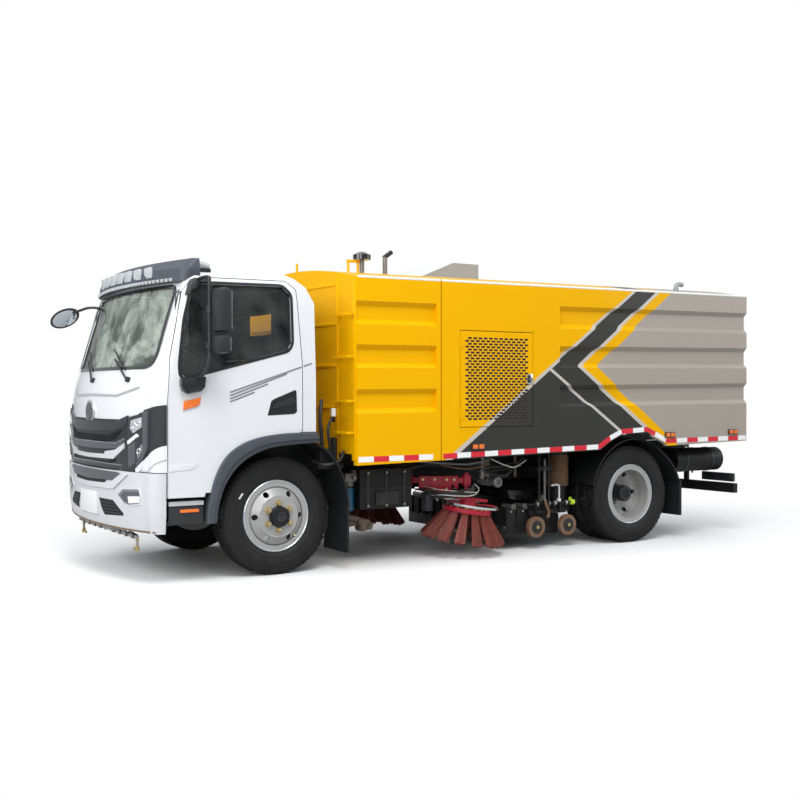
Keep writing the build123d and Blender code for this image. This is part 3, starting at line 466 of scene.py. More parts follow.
class Form:
    """A mesh put together from simple shapes, all in one finish."""

    def __init__(self) -> None:
        """Starts with nothing in it."""
        self.bm = bmesh.new()

    def take(self, part: BMesh, bevel: float = 0.0) -> None:
        """Adds a shape, with its sharp edges rounded if asked.

        Args:
            part: The shape, which is freed.
            bevel: Width of the rounding in metres.
        """
        bmesh.ops.recalc_face_normals(part, faces=part.faces[:])
        if bevel:
            least = math.radians(SHARP_EDGE)
            sharp = [edge for edge in part.edges if edge.is_manifold and edge.calc_face_angle(0) > least]
            bmesh.ops.bevel(part, geom=sharp, offset=bevel, segments=2, profile=0.6, affect="EDGES",
                            clamp_overlap=True)
        mesh = bpy.data.meshes.new("part")
        part.to_mesh(mesh)
        part.free()
        self.bm.from_mesh(mesh)
        bpy.data.meshes.remove(mesh)

    def box(self, low: Point3, high: Point3, bevel: float = 0.0, turn: Matrix | None = None) -> "Form":
        """Adds a box between two corners, turned about its centre if asked."""
        part = bmesh.new()
        bmesh.ops.create_cube(part, size=1)
        middle = (Vector(low) + Vector(high)) / 2
        size = Vector(high) - Vector(low)
        for vert in part.verts:
            spot = Vector(a * b for a, b in zip(vert.co, size))
            vert.co = (turn @ spot if turn else spot) + middle
        self.take(part, bevel)
        return self

    def prism(self, outline: Sequence[Point2], facing: Facing, low: float, high: float,
              bevel: float = 0.0) -> "Form":
        """Adds an outline, given in the facing's plane, from one depth to another along its outward axis."""
        part = bmesh.new()
        rings = [[part.verts.new(facing.spot(u, v, w)) for u, v in outline] for w in (low, high)]
        count = len(outline)
        part.faces.new(rings[0])
        part.faces.new(rings[1])
        for k in range(count):
            part.faces.new((rings[0][k], rings[0][(k + 1) % count], rings[1][(k + 1) % count], rings[1][k]))
        self.take(part, bevel)
        return self

    def spun(self, profile: Sequence[Point2], centre: Sequence[float], axis: Sequence[float], steps: int = 32,
             closed: bool = False) -> "Form":
        """Adds a profile of (along, radius) points turned about an axis.

        Args:
            profile: The points, from one end to the other.
            centre: Where along is 0.
            axis: The axis of turning.
            steps: Divisions round the axis.
            closed: True where the profile is a closed ring.

        Returns:
            This form.
        """
        part = bmesh.new()
        main_axis, first, second = square_axes(axis)
        rings = []
        for angle in turns(steps):
            out = first * math.cos(angle) + second * math.sin(angle)
            rings.append([part.verts.new(Vector(centre) + main_axis * a + out * r) for a, r in profile])
        last = len(profile) if closed else len(profile) - 1
        for k in range(steps):
            here, there = rings[k], rings[(k + 1) % steps]
            for i in range(last):
                j = (i + 1) % len(profile)
                part.faces.new((here[i], here[j], there[j], there[i]))
        if not closed:
            for end in (0, -1):
                if profile[end][1] > SAME_SPOT:
                    part.faces.new([ring[end] for ring in rings])
        bmesh.ops.remove_doubles(part, verts=part.verts[:], dist=SAME_SPOT)
        self.take(part)
        return self

    def bar(self, start: Sequence[float], end: Sequence[float], radius: float, steps: int = 16,
            edge: float = 0.0) -> "Form":
        """Adds a round bar between two points, with chamfered ends if asked."""
        along = Vector(end) - Vector(start)
        length = along.length
        profile = [(0, radius), (length, radius)]
        if edge:
            profile = [(0, radius - edge), (edge, radius), (length - edge, radius), (length, radius - edge)]
        return self.spun(profile, start, along, steps)

    def ring(self, centre: Sequence[float], axis: Sequence[float], radius: float, thick: float,
             steps: int = 40, sides: int = 10) -> "Form":
        """Adds a round ring of round wire."""
        profile = [(thick * math.sin(a), radius + thick * math.cos(a)) for a in turns(sides)]
        return self.spun(profile, centre, axis, steps, closed=True)

    def nut(self, centre: Sequence[float], axis: Sequence[float], across: float, height: float) -> "Form":
        """Adds a hexagon nut whose foot is at the centre."""
        radius = across / 2 / math.cos(math.pi / 6)
        top = height * 0.85
        return self.spun([(0, radius), (top, radius), (height, radius * 0.86)], centre, axis, 6)

    def tube(self, path: Sequence[Sequence[float]], radius: float, sides: int = 12, bend: int = 6) -> "Form":
        """Adds a round tube through points, eased into a smooth line."""
        points = eased([Vector(p) for p in path], bend)
        part = bmesh.new()
        rings = []
        ahead = (points[1] - points[0]).normalized()
        _, side_axis, _ = square_axes(ahead)
        for k, point in enumerate(points):
            before, after = points[max(k - 1, 0)], points[min(k + 1, len(points) - 1)]
            ahead = (after - before).normalized()
            side_axis = (side_axis - ahead * side_axis.dot(ahead)).normalized()
            lift = ahead.cross(side_axis)
            rings.append([part.verts.new(point + (side_axis * math.cos(a) + lift * math.sin(a)) * radius)
                          for a in turns(sides)])
        for here, there in zip(rings, rings[1:]):
            for i in range(sides):
                j = (i + 1) % sides
                part.faces.new((here[i], here[j], there[j], there[i]))
        part.faces.new(rings[0])
        part.faces.new(rings[-1])
        self.take(part)
        return self

    def hose(self, path: Sequence[Point3], radius: float, sides: int = 12, bend: int = 6) -> "Form":
        """Adds a tube whose points are given by their stations in place of their X."""
        return self.tube([(at(station), y, z) for station, y, z in path], radius, sides, bend)

    def mirrored(self) -> "Form":
        """Returns a copy of this form on the vehicle's other side."""
        other = Form()
        other.bm = self.bm.copy()
        for vert in other.bm.verts:
            vert.co.y = -vert.co.y
        bmesh.ops.reverse_faces(other.bm, faces=other.bm.faces[:])
        return other

    def mesh(self, name: str, angle: float = FORM_ANGLE) -> bpy.types.Mesh:
        """Finishes the form as a mesh that is smooth below the given angle."""
        mesh = bpy.data.meshes.new(name)
        for face in self.bm.faces:
            face.smooth = True
        self.bm.to_mesh(mesh)
        self.bm.free()
        mesh.set_sharp_from_angle(angle=math.radians(angle))
        return mesh


def eased(points: list[Vector], bend: int) -> list[Vector]:
    """Returns a smooth line through points, with so many steps between each two."""
    if bend < 2 or len(points) < 3:
        return points
    line = []
    for k in range(len(points) - 1):
        p0, p1, p2 = points[max(k - 1, 0)], points[k], points[k + 1]
        p3 = points[min(k + 2, len(points) - 1)]
        for i in range(bend):
            t = i / bend
            line.append(0.5 * (2 * p1 + (p2 - p0) * t + (2 * p0 - 5 * p1 + 4 * p2 - p3) * t * t
                               + (3 * p1 - p0 - 3 * p2 + p3) * t ** 3))
    return [*line, points[-1]]


class Fitter:
    """Turns forms into finished pieces that ride on the bodies."""

    def __init__(self, palette: Palette) -> None:
        """Keeps the palette."""
        self.palette = palette
        self.repeater = Repeater()

    def fit(self, name: str, form: Form, finish: str, body: str,
            angle: float = FORM_ANGLE) -> bpy.types.Object:
        """Makes a piece.

        Args:
            name: The piece's name.
            form: Its shape.
            finish: The name of its finish.
            body: The body it rides on.
            angle: Edges below this angle in degrees are smooth.

        Returns:
            The new object.
        """
        piece = new_object(name, form.mesh(name, angle))
        piece.data.materials.append(self.palette[finish])
        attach(piece, body)
        return piece

    def fit_each(self, body: str, *pieces: tuple[str, Form, str]) -> None:
        """Makes several pieces on one body, each given as its name, its shape and its finish."""
        for name, form, finish in pieces:
            self.fit(name, form, finish, body)

    def fit_both(self, name: str, form: Form, finish: str, body: str, angle: float = FORM_ANGLE) -> None:
        """Makes a left-hand piece and its mirror image, on a body or on a pair of bodies.

        Args:
            name: The pieces' name, to which the side is added.
            form: The left-hand shape.
            finish: The name of the finish.
            body: The body, or the pair's name ending in an underscore.
            angle: Edges below this angle in degrees are smooth.
        """
        other = form.mirrored()
        for side, shape in ((Side.LEFT, form), (Side.RIGHT, other)):
            own = body + side.tag() if body.endswith("_") else body
            self.fit(f"{name}_{side.tag()}", shape, finish, own, angle)

    def both_each(self, body: str, *pieces: tuple[str, Form, str]) -> None:
        """Makes several left-hand pieces with their mirror images, given as name, shape and finish."""
        for name, form, finish in pieces:
            self.fit_both(name, form, finish, body)

    def repeat(self, name: str, form: Form, places: Sequence[Matrix], finish: str, body: str) -> None:
        """Makes a piece of many copies of one form.

        Args:
            name: The piece's name.
            form: The form, made about the origin.
            places: Where each copy goes.
            finish: The name of its finish.
            body: The body it rides on.
        """
        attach(new_object(name, self.repeater.copies(name, form, places, self.palette[finish])), body)


class Repeater:
    """Copies one small form to many places with geometry nodes."""

    def __init__(self) -> None:
        """Builds the node group once."""
        self.group = bpy.data.node_groups.new("copies", "GeometryNodeTree")
        face = self.group.interface
        for label, kind in (("Places", "Geometry"), ("Piece", "Object"), ("Finish", "Material")):
            face.new_socket(label, in_out="INPUT", socket_type=f"NodeSocket{kind}")
        face.new_socket("Copies", in_out="OUTPUT", socket_type="NodeSocketGeometry")
        wires = Wires(self.group)
        inp, out = wires.add("NodeGroupInput"), wires.add("NodeGroupOutput")
        info = wires.add("GeometryNodeObjectInfo")
        turn, size = (wires.add("GeometryNodeInputNamedAttribute", {"Name": name}, data_type="FLOAT_VECTOR")
                      for name in ("turn", "size"))
        rotation = wires.add("FunctionNodeEulerToRotation")
        spread = wires.add("GeometryNodeInstanceOnPoints")
        real = wires.add("GeometryNodeRealizeInstances")
        paint = wires.add("GeometryNodeSetMaterial")
        wires.join((inp, "Piece", info, "Object"), (turn, "Attribute", rotation, 0),
                   (inp, "Places", spread, "Points"), (info, "Geometry", spread, "Instance"),
                   (rotation, 0, spread, "Rotation"), (size, "Attribute", spread, "Scale"),
                   (spread, 0, real, 0), (real, 0, paint, "Geometry"), (inp, "Finish", paint, "Material"),
                   (paint, 0, out, 0))
        self.keys = {item.name: item.identifier for item in face.items_tree if item.in_out == "INPUT"}

    def copies(self, name: str, form: Form, places: Sequence[Matrix],
               material: bpy.types.Material) -> bpy.types.Mesh:
        """Returns a plain mesh of the form at every place.

        Args:
            name: The mesh's name.
            form: The form, made about the origin.
            places: A matrix for each copy.
            material: The copies' material.

        Returns:
            The mesh.
        """
        points = bpy.data.meshes.new("points")
        points.from_pydata([place.translation[:] for place in places], [], [])
        for label, values in (("turn", [value for place in places for value in place.to_euler()]),
                              ("size", [value for place in places for value in place.to_scale()])):
            points.attributes.new(label, "FLOAT_VECTOR", "POINT").data.foreach_set("vector", values)
        unit, holder = new_object("unit", form.mesh("unit")), new_object("holder", points)
        modifier = holder.modifiers.new("copies", "NODES")
        modifier.node_group = self.group
        modifier[self.keys["Piece"]] = unit
        modifier[self.keys["Finish"]] = material
        bpy.context.view_layer.update()
        ready = holder.evaluated_get(bpy.context.evaluated_depsgraph_get())
        mesh = bpy.data.meshes.new_from_object(ready)
        mesh.name = name
        for spare in (holder, unit):
            bpy.data.objects.remove(spare)
        return mesh


def placed(spot: Sequence[float], ahead: Sequence[float] = (0, 0, 1), spin: float = 0.0) -> Matrix:
    """Returns a matrix that puts a form at a spot with its Z axis along the given direction."""
    turn = Vector(ahead).to_track_quat("Z", "Y").to_matrix().to_4x4()
    return Matrix.Translation(Vector(spot)) @ turn @ Matrix.Rotation(spin, 4, "Z")


class Skin:
    """The outer shape of some CAD nodes, on which thin fittings are laid."""

    square: float = 0.06

    def __init__(self, nodes: Iterable[bpy.types.Object]) -> None:
        """Wraps the nodes in their convex hull.

        Args:
            nodes: The CAD nodes.
        """
        hull = bmesh.new()
        for node in nodes:
            hull.from_mesh(node.data)
        made = bmesh.ops.convex_hull(hull, input=hull.verts[:])
        bmesh.ops.delete(hull, geom=list(set(made["geom_interior"] + made["geom_unused"])), context="VERTS")
        self.tree = BVHTree.FromBMesh(hull)
        hull.free()

    def height(self, facing: Facing, u: float, v: float) -> float:
        """Returns how far out the shape reaches at a point of the facing's plane."""
        outward = facing.outward()
        start = facing.spot(u, v, 10)
        spot = self.tree.ray_cast(start, -outward)[0]
        if spot is None:
            spot = self.tree.find_nearest(facing.spot(u, v, 1.0))[0]
        return spot.dot(outward)

    def drape(self, form: Form, facing: Facing, flat: BMesh, lift: float, sink: float = 0.004,
              bevel: float = 0.0) -> Form:
        """Cuts a flat sheet into squares, so that it bends, lays it on the shape and gives it thickness.

        Args:
            form: The form it is added to.
            facing: Where the sheet is seen from.
            flat: The sheet in (across, up, 0), which is freed.
            lift: How far it stands off the shape.
            sink: How far its rim goes below the shape's surface.
            bevel: Rounding of its edges.

        Returns:
            The form it is added to.
        """
        for axis, normal in enumerate((Vector((1, 0, 0)), Vector((0, 1, 0)))):
            reach = [vert.co[axis] / self.square for vert in flat.verts]
            for k in range(math.ceil(min(reach)), math.floor(max(reach)) + 1):
                bmesh.ops.bisect_plane(flat, geom=flat.verts[:] + flat.edges[:] + flat.faces[:],
                                       plane_co=normal * k * self.square, plane_no=normal)
        bmesh.ops.triangulate(flat, faces=[face for face in flat.faces if len(face.verts) > 4])
        heights = {vert: self.height(facing, vert.co.x, vert.co.y) for vert in flat.verts}
        places = {vert: (vert.co.x, vert.co.y) for vert in flat.verts}
        top, low = list(flat.faces), {}
        for vert, (u, v) in places.items():
            low[vert] = flat.verts.new(facing.spot(u, v, heights[vert] - sink))
            vert.co = facing.spot(u, v, heights[vert] + lift)
        rim = [edge for edge in flat.edges if len(edge.link_faces) == 1]
        for face in top:
            flat.faces.new([low[vert] for vert in reversed(face.verts)])
        for edge in rim:
            first, second = edge.verts
            flat.faces.new((first, second, low[second], low[first]))
        form.take(flat, bevel)
        return form

    def patch(self, form: Form, facing: Facing, outline: Sequence[Point2], lift: float,
              bevel: float = 0.0) -> Form:
        """Lays a flat outline on the shape as a thin plate, and returns the form it is added to."""
        flat = bmesh.new()
        flat.faces.new([flat.verts.new((u, v, 0)) for u, v in outline])
        return self.drape(form, facing, flat, lift, bevel=bevel)

    def ribbon(self, form: Form, facing: Facing, path: Sequence[Point2], width: float, lift: float,
               closed: bool = False, sink: float = 0.004) -> Form:
        """Lays a narrow band along a path on the shape, and returns the form it is added to."""
        flat = bmesh.new()
        left, right = offset_pair(path, width / 2, closed)
        sides = [[flat.verts.new((u, v, 0)) for u, v in line] for line in (left, right)]
        count = len(path)
        for k in range(count if closed else count - 1):
            j = (k + 1) % count
            flat.faces.new((sides[0][k], sides[0][j], sides[1][j], sides[1][k]))
        return self.drape(form, facing, flat, lift, sink)


def offset_pair(path: Sequence[Point2], reach: float, closed: bool) -> tuple[list[Point2], list[Point2]]:
    """Returns the two lines that run beside a path at a distance."""
    count = len(path)
    lines: tuple[list[Point2], list[Point2]] = ([], [])
    for k in range(count):
        before = path[(k - 1) % count] if closed or k else path[k]
        after = path[(k + 1) % count] if closed or k < count - 1 else path[k]
        here = Vector(path[k])
        ways = [(here - Vector(before)), (Vector(after) - here)]
        ways = [way.normalized() for way in ways if way.length > 1e-9]
        normals = [Vector((-way.y, way.x)) for way in ways]
        mean = sum(normals, Vector((0, 0))).normalized()
        stretch = 1 / max(mean.dot(normals[0]), 0.4)
        for line, sign in zip(lines, (1, -1)):
            spot = here + mean * sign * reach * stretch
            line.append((spot.x, spot.y))
    return lines


def mirrored_outline(points: Sequence[Point2]) -> list[Point2]:
    """Returns an outline on the other side of U = 0."""
    return [(-u, v) for u, v in reversed(points)]


def placed_at(points: Sequence[Point2]) -> list[Point2]:
    """Turns (station, height) points into (X, height) points."""
    return [(at(station), height) for station, height in points]


# ---------------------------------------------------------------- painted shells


def cut_faces(bm: BMesh, wanted: Callable[[Vector], bool], spot: Sequence[float],
              normal: Sequence[float]) -> None:
    """Cuts along a plane the faces whose middles are wanted."""
    faces = [face for face in bm.faces if wanted(face.calc_center_median())]
    edges = {edge for face in faces for edge in face.edges}
    verts = {vert for face in faces for vert in face.verts}
    bmesh.ops.bisect_plane(bm, geom=[*verts, *edges, *faces], plane_co=spot, plane_no=normal, dist=SAME_SPOT)


def recoat(node: bpy.types.Object, body: str, palette: Palette, finishes: Sequence[str],
           choose: Callable[[Face], int] | None = None,
           cut: Callable[[BMesh], None] | None = None,
           smooth: Callable[[Face], bool] | None = None,
           bend: Callable[[Vector], Vector] | None = None) -> bpy.types.Object:
    """Puts a copy of a CAD node in its place, with a finish chosen for each face.

    Args:
        node: The CAD node.
        body: The body that it rides on.
        palette: The truck's materials.
        finishes: The finishes' names.
        choose: Returns the index of a face's finish; all have the first if it isn't given.
        cut: Splits the copy's faces first, if given.
        smooth: Tells which faces are shaded smooth; all are if it isn't given.
        bend: Moves the copy's points, if given.

    Returns:
        The new object.
    """
    bm = bmesh.new()
    bm.from_mesh(node.data)
    bmesh.ops.remove_doubles(bm, verts=bm.verts[:], dist=1e-5)
    if cut:
        cut(bm)
    if bend:
        for vert in bm.verts:
            vert.co = bend(vert.co)
    bm.normal_update()
    for face in bm.faces:
        face.material_index = choose(face) if choose else 0
        face.smooth = smooth is None or smooth(face)
    mesh = bpy.data.meshes.new(node.name + "_coat")
    bm.to_mesh(mesh)
    bm.free()
    if "custom_normal" in mesh.attributes:
        mesh.attributes.remove(mesh.attributes["custom_normal"])
    mesh.set_sharp_from_angle(angle=math.radians(COAT_ANGLE))
    for name in finishes:
        mesh.materials.append(palette[name])
    piece = new_object(node.name + "_coat", mesh)
    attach(piece, body)
    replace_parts(piece, node.name)
    return piece


@dataclass(frozen=True)
class StripeEdge:
    """One edge of the body's stripes, in metres behind the front axle."""

    tip: float
    rise: float
    fall: float | None = None

    def station(self, z: float, tip_z: float) -> float:
        """Returns the station of the edge at a height."""
        if z >= tip_z or self.fall is None:
            return self.tip - (z - tip_z) / self.rise
        return self.tip - (tip_z - z) / self.fall


@dataclass
class Livery:
    """Slanted stripes that part the body's yellow front from its grey rear."""

    tip_z: float = 1.749
    roof_z: float = 2.5
    roof_edge: float = 0.03
    ends: Point2 = (-1.5, -5.39)
    skin_y: float = 1.18
    edges: tuple[StripeEdge, ...] = (
        StripeEdge(-2.704, 0.710),
        StripeEdge(-2.761, 0.719),
        StripeEdge(-3.055, 0.741, 0.698),
        StripeEdge(-3.115, 0.746, 0.690),
        StripeEdge(-3.298, 0.767, 0.717),
    )
    bands: tuple[str, ...] = ("body_yellow", "stripe_beige", "body_charcoal", "stripe_beige", "body_yellow",
                              "body_grey")
    diagonal: tuple[float, float, float] = (-2.702, -2.752, 0.673)
    diagonal_z: float = 1.714
    finishes: tuple[str, ...] = ("body_yellow", "stripe_beige", "body_charcoal", "body_grey", "engine_grey")

    def finish_at(self, station: float, z: float) -> str:
        """Returns the finish at a point of the side."""
        name = self.bands[-1]
        for edge, band in zip(self.edges, self.bands):
            if station > edge.station(z, self.tip_z):
                name = band
                break
        front, back, slope = self.diagonal
        drop = (self.diagonal_z - z) / slope
        if name == "body_charcoal" and z < self.tip_z and back - drop < station < front - drop:
            return "stripe_beige"
        return name

    def _choose(self, face: Face) -> int:
        """Returns the index of a face's finish."""
        middle = face.calc_center_median()
        if abs(middle.y) > self.skin_y or middle.z > self.roof_z - self.roof_edge:
            return self.finishes.index(self.finish_at(middle.x - AXLE_X, min(middle.z, self.roof_z)))
        front, rear = self.ends
        if middle.x > at(front):
            return self.finishes.index("body_yellow")
        return self.finishes.index("body_grey" if middle.x < at(rear) else "engine_grey")

    @staticmethod
    def _slice(bm: BMesh, wanted: Callable[[Vector], bool], spot: Point2, normal: Point2) -> None:
        """Cuts the wanted faces along a line of the side view."""
        cut_faces(bm, wanted, (at(spot[0]), 0, spot[1]), (normal[0], 0, normal[1]))

    def _cut(self, bm: BMesh) -> None:
        """Cuts the faces along every edge of the stripes."""
        def on_side(middle: Vector) -> bool:
            """Whether a spot is on either side's skin."""
            return abs(middle.y) > self.skin_y

        def above(middle: Vector) -> bool:
            """Whether a side's spot is above the stripes' tips."""
            return on_side(middle) and middle.z > self.tip_z

        def below(middle: Vector) -> bool:
            """Whether a side's spot is below the stripes' tips."""
            return on_side(middle) and middle.z < self.tip_z

        def on_roof(middle: Vector) -> bool:
            """Whether a spot is on the roof, inside the sides."""
            return middle.z > self.roof_z - self.roof_edge and not on_side(middle)

        self._slice(bm, on_side, (0, self.tip_z), (0, 1))
        for edge in self.edges:
            self._slice(bm, above, (edge.tip, self.tip_z), (edge.rise, 1))
            fall = edge.rise if edge.fall is None else -edge.fall
            self._slice(bm, below, (edge.tip, self.tip_z), (fall, 1))
            self._slice(bm, on_roof, (edge.station(self.roof_z, self.tip_z), 0), (1, 0))
        front, back, slope = self.diagonal
        for station in (front, back):
            self._slice(bm, below, (station, self.diagonal_z), (-slope, 1))

    def paint(self, nodes: Nodes, palette: Palette) -> None:
        """Paints the hopper and its two service doors."""
        def on_roof(face: Face) -> bool:
            """Whether a face looks up from the roof."""
            return face.normal.z > 0.9 and face.calc_center_median().z > self.roof_z - self.roof_edge

        recoat(nodes["hopper_body"], "hopper", palette, self.finishes, self._choose, self._cut, on_roof)
        for side in Side:
            name = f"service_door_{side.tag()}"
            recoat(nodes[name], name, palette, self.finishes, self._choose, self._cut, on_roof)


@dataclass
class CabShells:
    """The cab's sheet metal, white outside and dark inside, with painted shade on the rims in its openings
    and gaps.
    """

    depth: float = 0.022
    rim_turn: float = 0.5
    rear_x: float = at(-0.18)
    heart: Point3 = (at(0.4), 0.0, 1.9)
    # Y from, Y to and sill of the rear window's clear part; the rest of that window is gloss black, painted
    # shade of the cab's inside.
    clear_part: Point3 = (-0.12, 0.33, 2.02)

    def paint(self, nodes: Nodes, palette: Palette) -> None:
        """Paints the cab and its doors."""
        skin = Skin([nodes["cab_shell"], nodes["cab_door_left"], nodes["cab_door_right"]])

        def chooser(door: Vector | None) -> Callable[[Face], int]:
            """Returns what tells dark faces: inner ones, and rims (of a door, those that face its middle),
            the rims dark as painted shade.
            """
            def inside(face: Face) -> int:
                """Gives 1 for a dark face (the lining, and painted shade on rims) and 0 for a white painted
                one.
                """
                middle = face.calc_center_median()
                spot, outward = skin.tree.find_nearest(middle)[:2]
                if abs(outward.dot(face.normal)) < self.rim_turn:
                    return int(door is None or (middle - door).dot(face.normal) < 0)
                return int((spot - middle).length > self.depth)
            return inside

        finishes = ("cab_white", "cab_lining")
        recoat(nodes["cab_shell"], "cab", palette, finishes, chooser(None))
        for side in Side:
            door = nodes[f"cab_door_{side.tag()}"]
            panes = [vert.co for vert in nodes[f"door_glass_{side.tag()}"].data.vertices]
            window = sum(panes, Vector()) / len(panes)
            recoat(door, f"door_{side.tag()}", palette, finishes, chooser(window))
        panes = ("door_glass", "inner_glass", "screen_glass", "clear_glass", "gloss_black")
        recoat(nodes["cab_glass"], "cab", palette, panes, self._pane, self._part_rear_window)
        for side in Side:
            recoat(nodes[f"door_glass_{side.tag()}"], f"door_{side.tag()}", palette, panes, self._pane)

    def _part_rear_window(self, bm: BMesh) -> None:
        """Cuts the rear window's faces round its clear part."""
        low, high, sill = self.clear_part
        for spot, normal in (((0, low, 0), (0, 1, 0)), ((0, high, 0), (0, 1, 0)), ((0, 0, sill), (0, 0, 1))):
            cut_faces(bm, lambda middle: middle.x < self.rear_x, spot, normal)

    def _pane(self, face: Face) -> int:
        """Returns the index of a pane's finish: doors, inner faces, windscreen, or the rear window's clear
        part and its gloss black rest, which is painted shade.
        """
        middle = face.calc_center_median()
        if middle.x < self.rear_x and abs(middle.y) < 0.8:
            low, high, sill = self.clear_part
            # Outside the clear part the rear window is gloss black: painted shade.
            return 3 if low < middle.y < high and middle.z > sill else 4
        # Faces turned to the cab's middle take the dark inner glass, painted shade of the inside.
        if (middle - Vector(self.heart)).dot(face.normal) < 0:
            return 1
        return 2 if middle.x > at(0.70) and abs(middle.y) < 1.0 else 0


# ---------------------------------------------------------------- body fittings


@dataclass
class SafetyTape:
    """Red and white reflective tape along the body's lower edge."""

    width: float = 0.047
    piece: float = 0.151
    rise: float = 0.033
    thick: float = 0.0015
    gap: float = 0.004
    tank_edge: Outline = ((-0.640, 0.907), (-1.396, 0.910))
    hopper_edge: Outline = ((-1.500, 0.911), (-3.331, 0.948), (-3.473, 1.030), (-3.618, 1.090),
                            (-3.950, 1.105), (-4.063, 1.055), (-4.230, 0.985), (-5.396, 0.993))

    def fit(self, fitter: Fitter) -> None:
        """Lays the tape on both sides of the tank and the hopper."""
        for body, edge, first in (("chassis", self.tank_edge, "tape_white"),
                                  ("hopper", self.hopper_edge, "tape_red")):
            line = offset_pair(edge, self.rise, False)[1]
            forms = {"tape_red": Form(), "tape_white": Form()}
            names = [first, "tape_white" if first == "tape_red" else "tape_red"]
            start, end, k = line[0][0], line[-1][0], 0
            while start > end + 0.05:
                stop = max(start - self.piece, end)
                self._strip(forms[names[k % 2]], line, start, stop + self.gap)
                start, k = stop, k + 1
            for finish, form in forms.items():
                fitter.fit_both(f"{body}_{finish}", form, finish, body)

    def _strip(self, form: Form, line: Sequence[Point2], start: float, stop: float) -> None:
        """Adds one length of tape between two stations."""
        inner = [point for point in line if stop < point[0] < start]
        path = [along(line, start), *inner, along(line, stop)]
        left, right = offset_pair(path, self.width / 2, False)
        for k in range(len(path) - 1):
            form.prism(placed_at([left[k], left[k + 1], right[k + 1], right[k]]), Facing.LEFT,
                       BODY_SIDE - 0.001, BODY_SIDE + self.thick)


def along(line: Sequence[Point2], station: float) -> Point2:
    """Returns the point of a backward line at a station."""
    for (s1, z1), (s2, z2) in zip(line, line[1:]):
        if s2 <= station <= s1:
            return station, z1 + (z2 - z1) * (s1 - station) / (s1 - s2)
    return station, line[-1][1]


@dataclass
class ServiceDoorTrim:
    """Ventilation slots, drawn as dark plates of painted shade, pressed rim and lock of the two service
    doors.
    """

    columns: int = 12
    rows: int = 29
    front: float = -1.757
    rear: float = -2.425
    low: float = 1.268
    high: float = 1.990
    slot: Point2 = (0.044, 0.0155)
    lip_edge: tuple[float, float, float, float] = (-1.690, -2.5175, 1.1785, 2.0715)
    lip_pieces: int = 60
    lock_spot: Point2 = (-2.462, 1.628)

    def fit(self, fitter: Fitter) -> None:
        """Fits both doors."""
        pitch = (self.front - self.rear) / (self.columns - 0.5)
        down = Matrix.Translation((0, 0, -self.slot[1] * 0.62))
        for side in Side:
            body = f"service_door_{side.tag()}"
            places = []
            for row in range(self.rows):
                z = self.low + (self.high - self.low) * row / (self.rows - 1)
                for column in range(self.columns):
                    station = self.rear + pitch * (column + 0.5 * (row % 2))
                    places.append(placed((at(station), side.value * (BODY_SIDE + 0.0002), z)))
            fitter.repeat(f"door_slots_{side.tag()}", self._slot(), places, "gap_dark", body)
            # A thin strip under each slot is a painted highlight on its lower edge.
            fitter.repeat(f"door_slot_lips_{side.tag()}", self._lip(),
                          [down @ place for place in places], "caster_brown", body)
        self._locks(fitter)
        self._cover(fitter)

    def _cover(self, fitter: Fitter) -> None:
        """A painted lip over the gap round each door, away from its hinges."""
        livery = Livery()
        front, rear, low, high = self.lip_edge
        forms = {name: Form() for name in ("body_yellow", "stripe_beige", "body_charcoal")}
        steps = self.lip_pieces
        for k in range(steps):
            s1, s2 = (rear + (front - rear) * i / steps for i in (k, k + 1))
            for z in (low, high):
                name = livery.finish_at((s1 + s2) / 2, z)
                forms[name].box((at(s1), BODY_SIDE - 0.0005, z - 0.009),
                                (at(s2), BODY_SIDE + 0.0012, z + 0.009))
            z1, z2 = (low + (high - low) * i / steps for i in (k, k + 1))
            name = livery.finish_at(rear, (z1 + z2) / 2)
            forms[name].box((at(rear) - 0.009, BODY_SIDE - 0.0005, z1),
                            (at(rear) + 0.009, BODY_SIDE + 0.0012, z2))
        for name, form in forms.items():
            fitter.fit_both(f"door_lip_{name}", form, name, "service_door_")

    def _slot(self) -> Form:
        """A flat slot with round ends: a dark plate that is painted shade where the slot opens."""
        half, radius = self.slot[0] / 2, self.slot[1] / 2
        outline = []
        for centre, start in ((half - radius, -90), (radius - half, 90)):
            outline += [(centre + radius * math.cos(math.radians(start + 45 * k)),
                         radius * math.sin(math.radians(start + 45 * k))) for k in range(5)]
        return Form().prism(outline, Facing.LEFT, -0.0008, 0.0008)

    def _lip(self) -> Form:
        """The slot's bright lower edge: a flat strip that is a painted highlight."""
        half = self.slot[0] / 2 - self.slot[1] / 2
        return Form().box((-half, -0.0008, -0.0012), (half, 0.0008, 0.0012))

    def _locks(self, fitter: Fitter) -> None:
        """A paddle latch near each door's rear edge."""
        x, z = at(self.lock_spot[0]), self.lock_spot[1]
        plate = Form().box((x - 0.034, BODY_SIDE, z - 0.046), (x + 0.034, BODY_SIDE + 0.009, z + 0.046),
                           0.003)
        dish = Form().box((x - 0.008, BODY_SIDE + 0.004, z - 0.036),
                          (x + 0.027, BODY_SIDE + 0.0115, z + 0.036), 0.002)
        paddle = Form().box((x - 0.028, BODY_SIDE + 0.004, z - 0.018),
                            (x - 0.011, BODY_SIDE + 0.016, z + 0.018), 0.003)
        paddle.bar((x + 0.012, BODY_SIDE + 0.006, z), (x + 0.012, BODY_SIDE + 0.017, z), 0.007)
        fitter.both_each("service_door_", ("door_latch_plate", plate, "chrome"),
                         ("door_latch_dish", dish, "gloss_black"), ("door_latch_paddle", paddle, "chrome"))


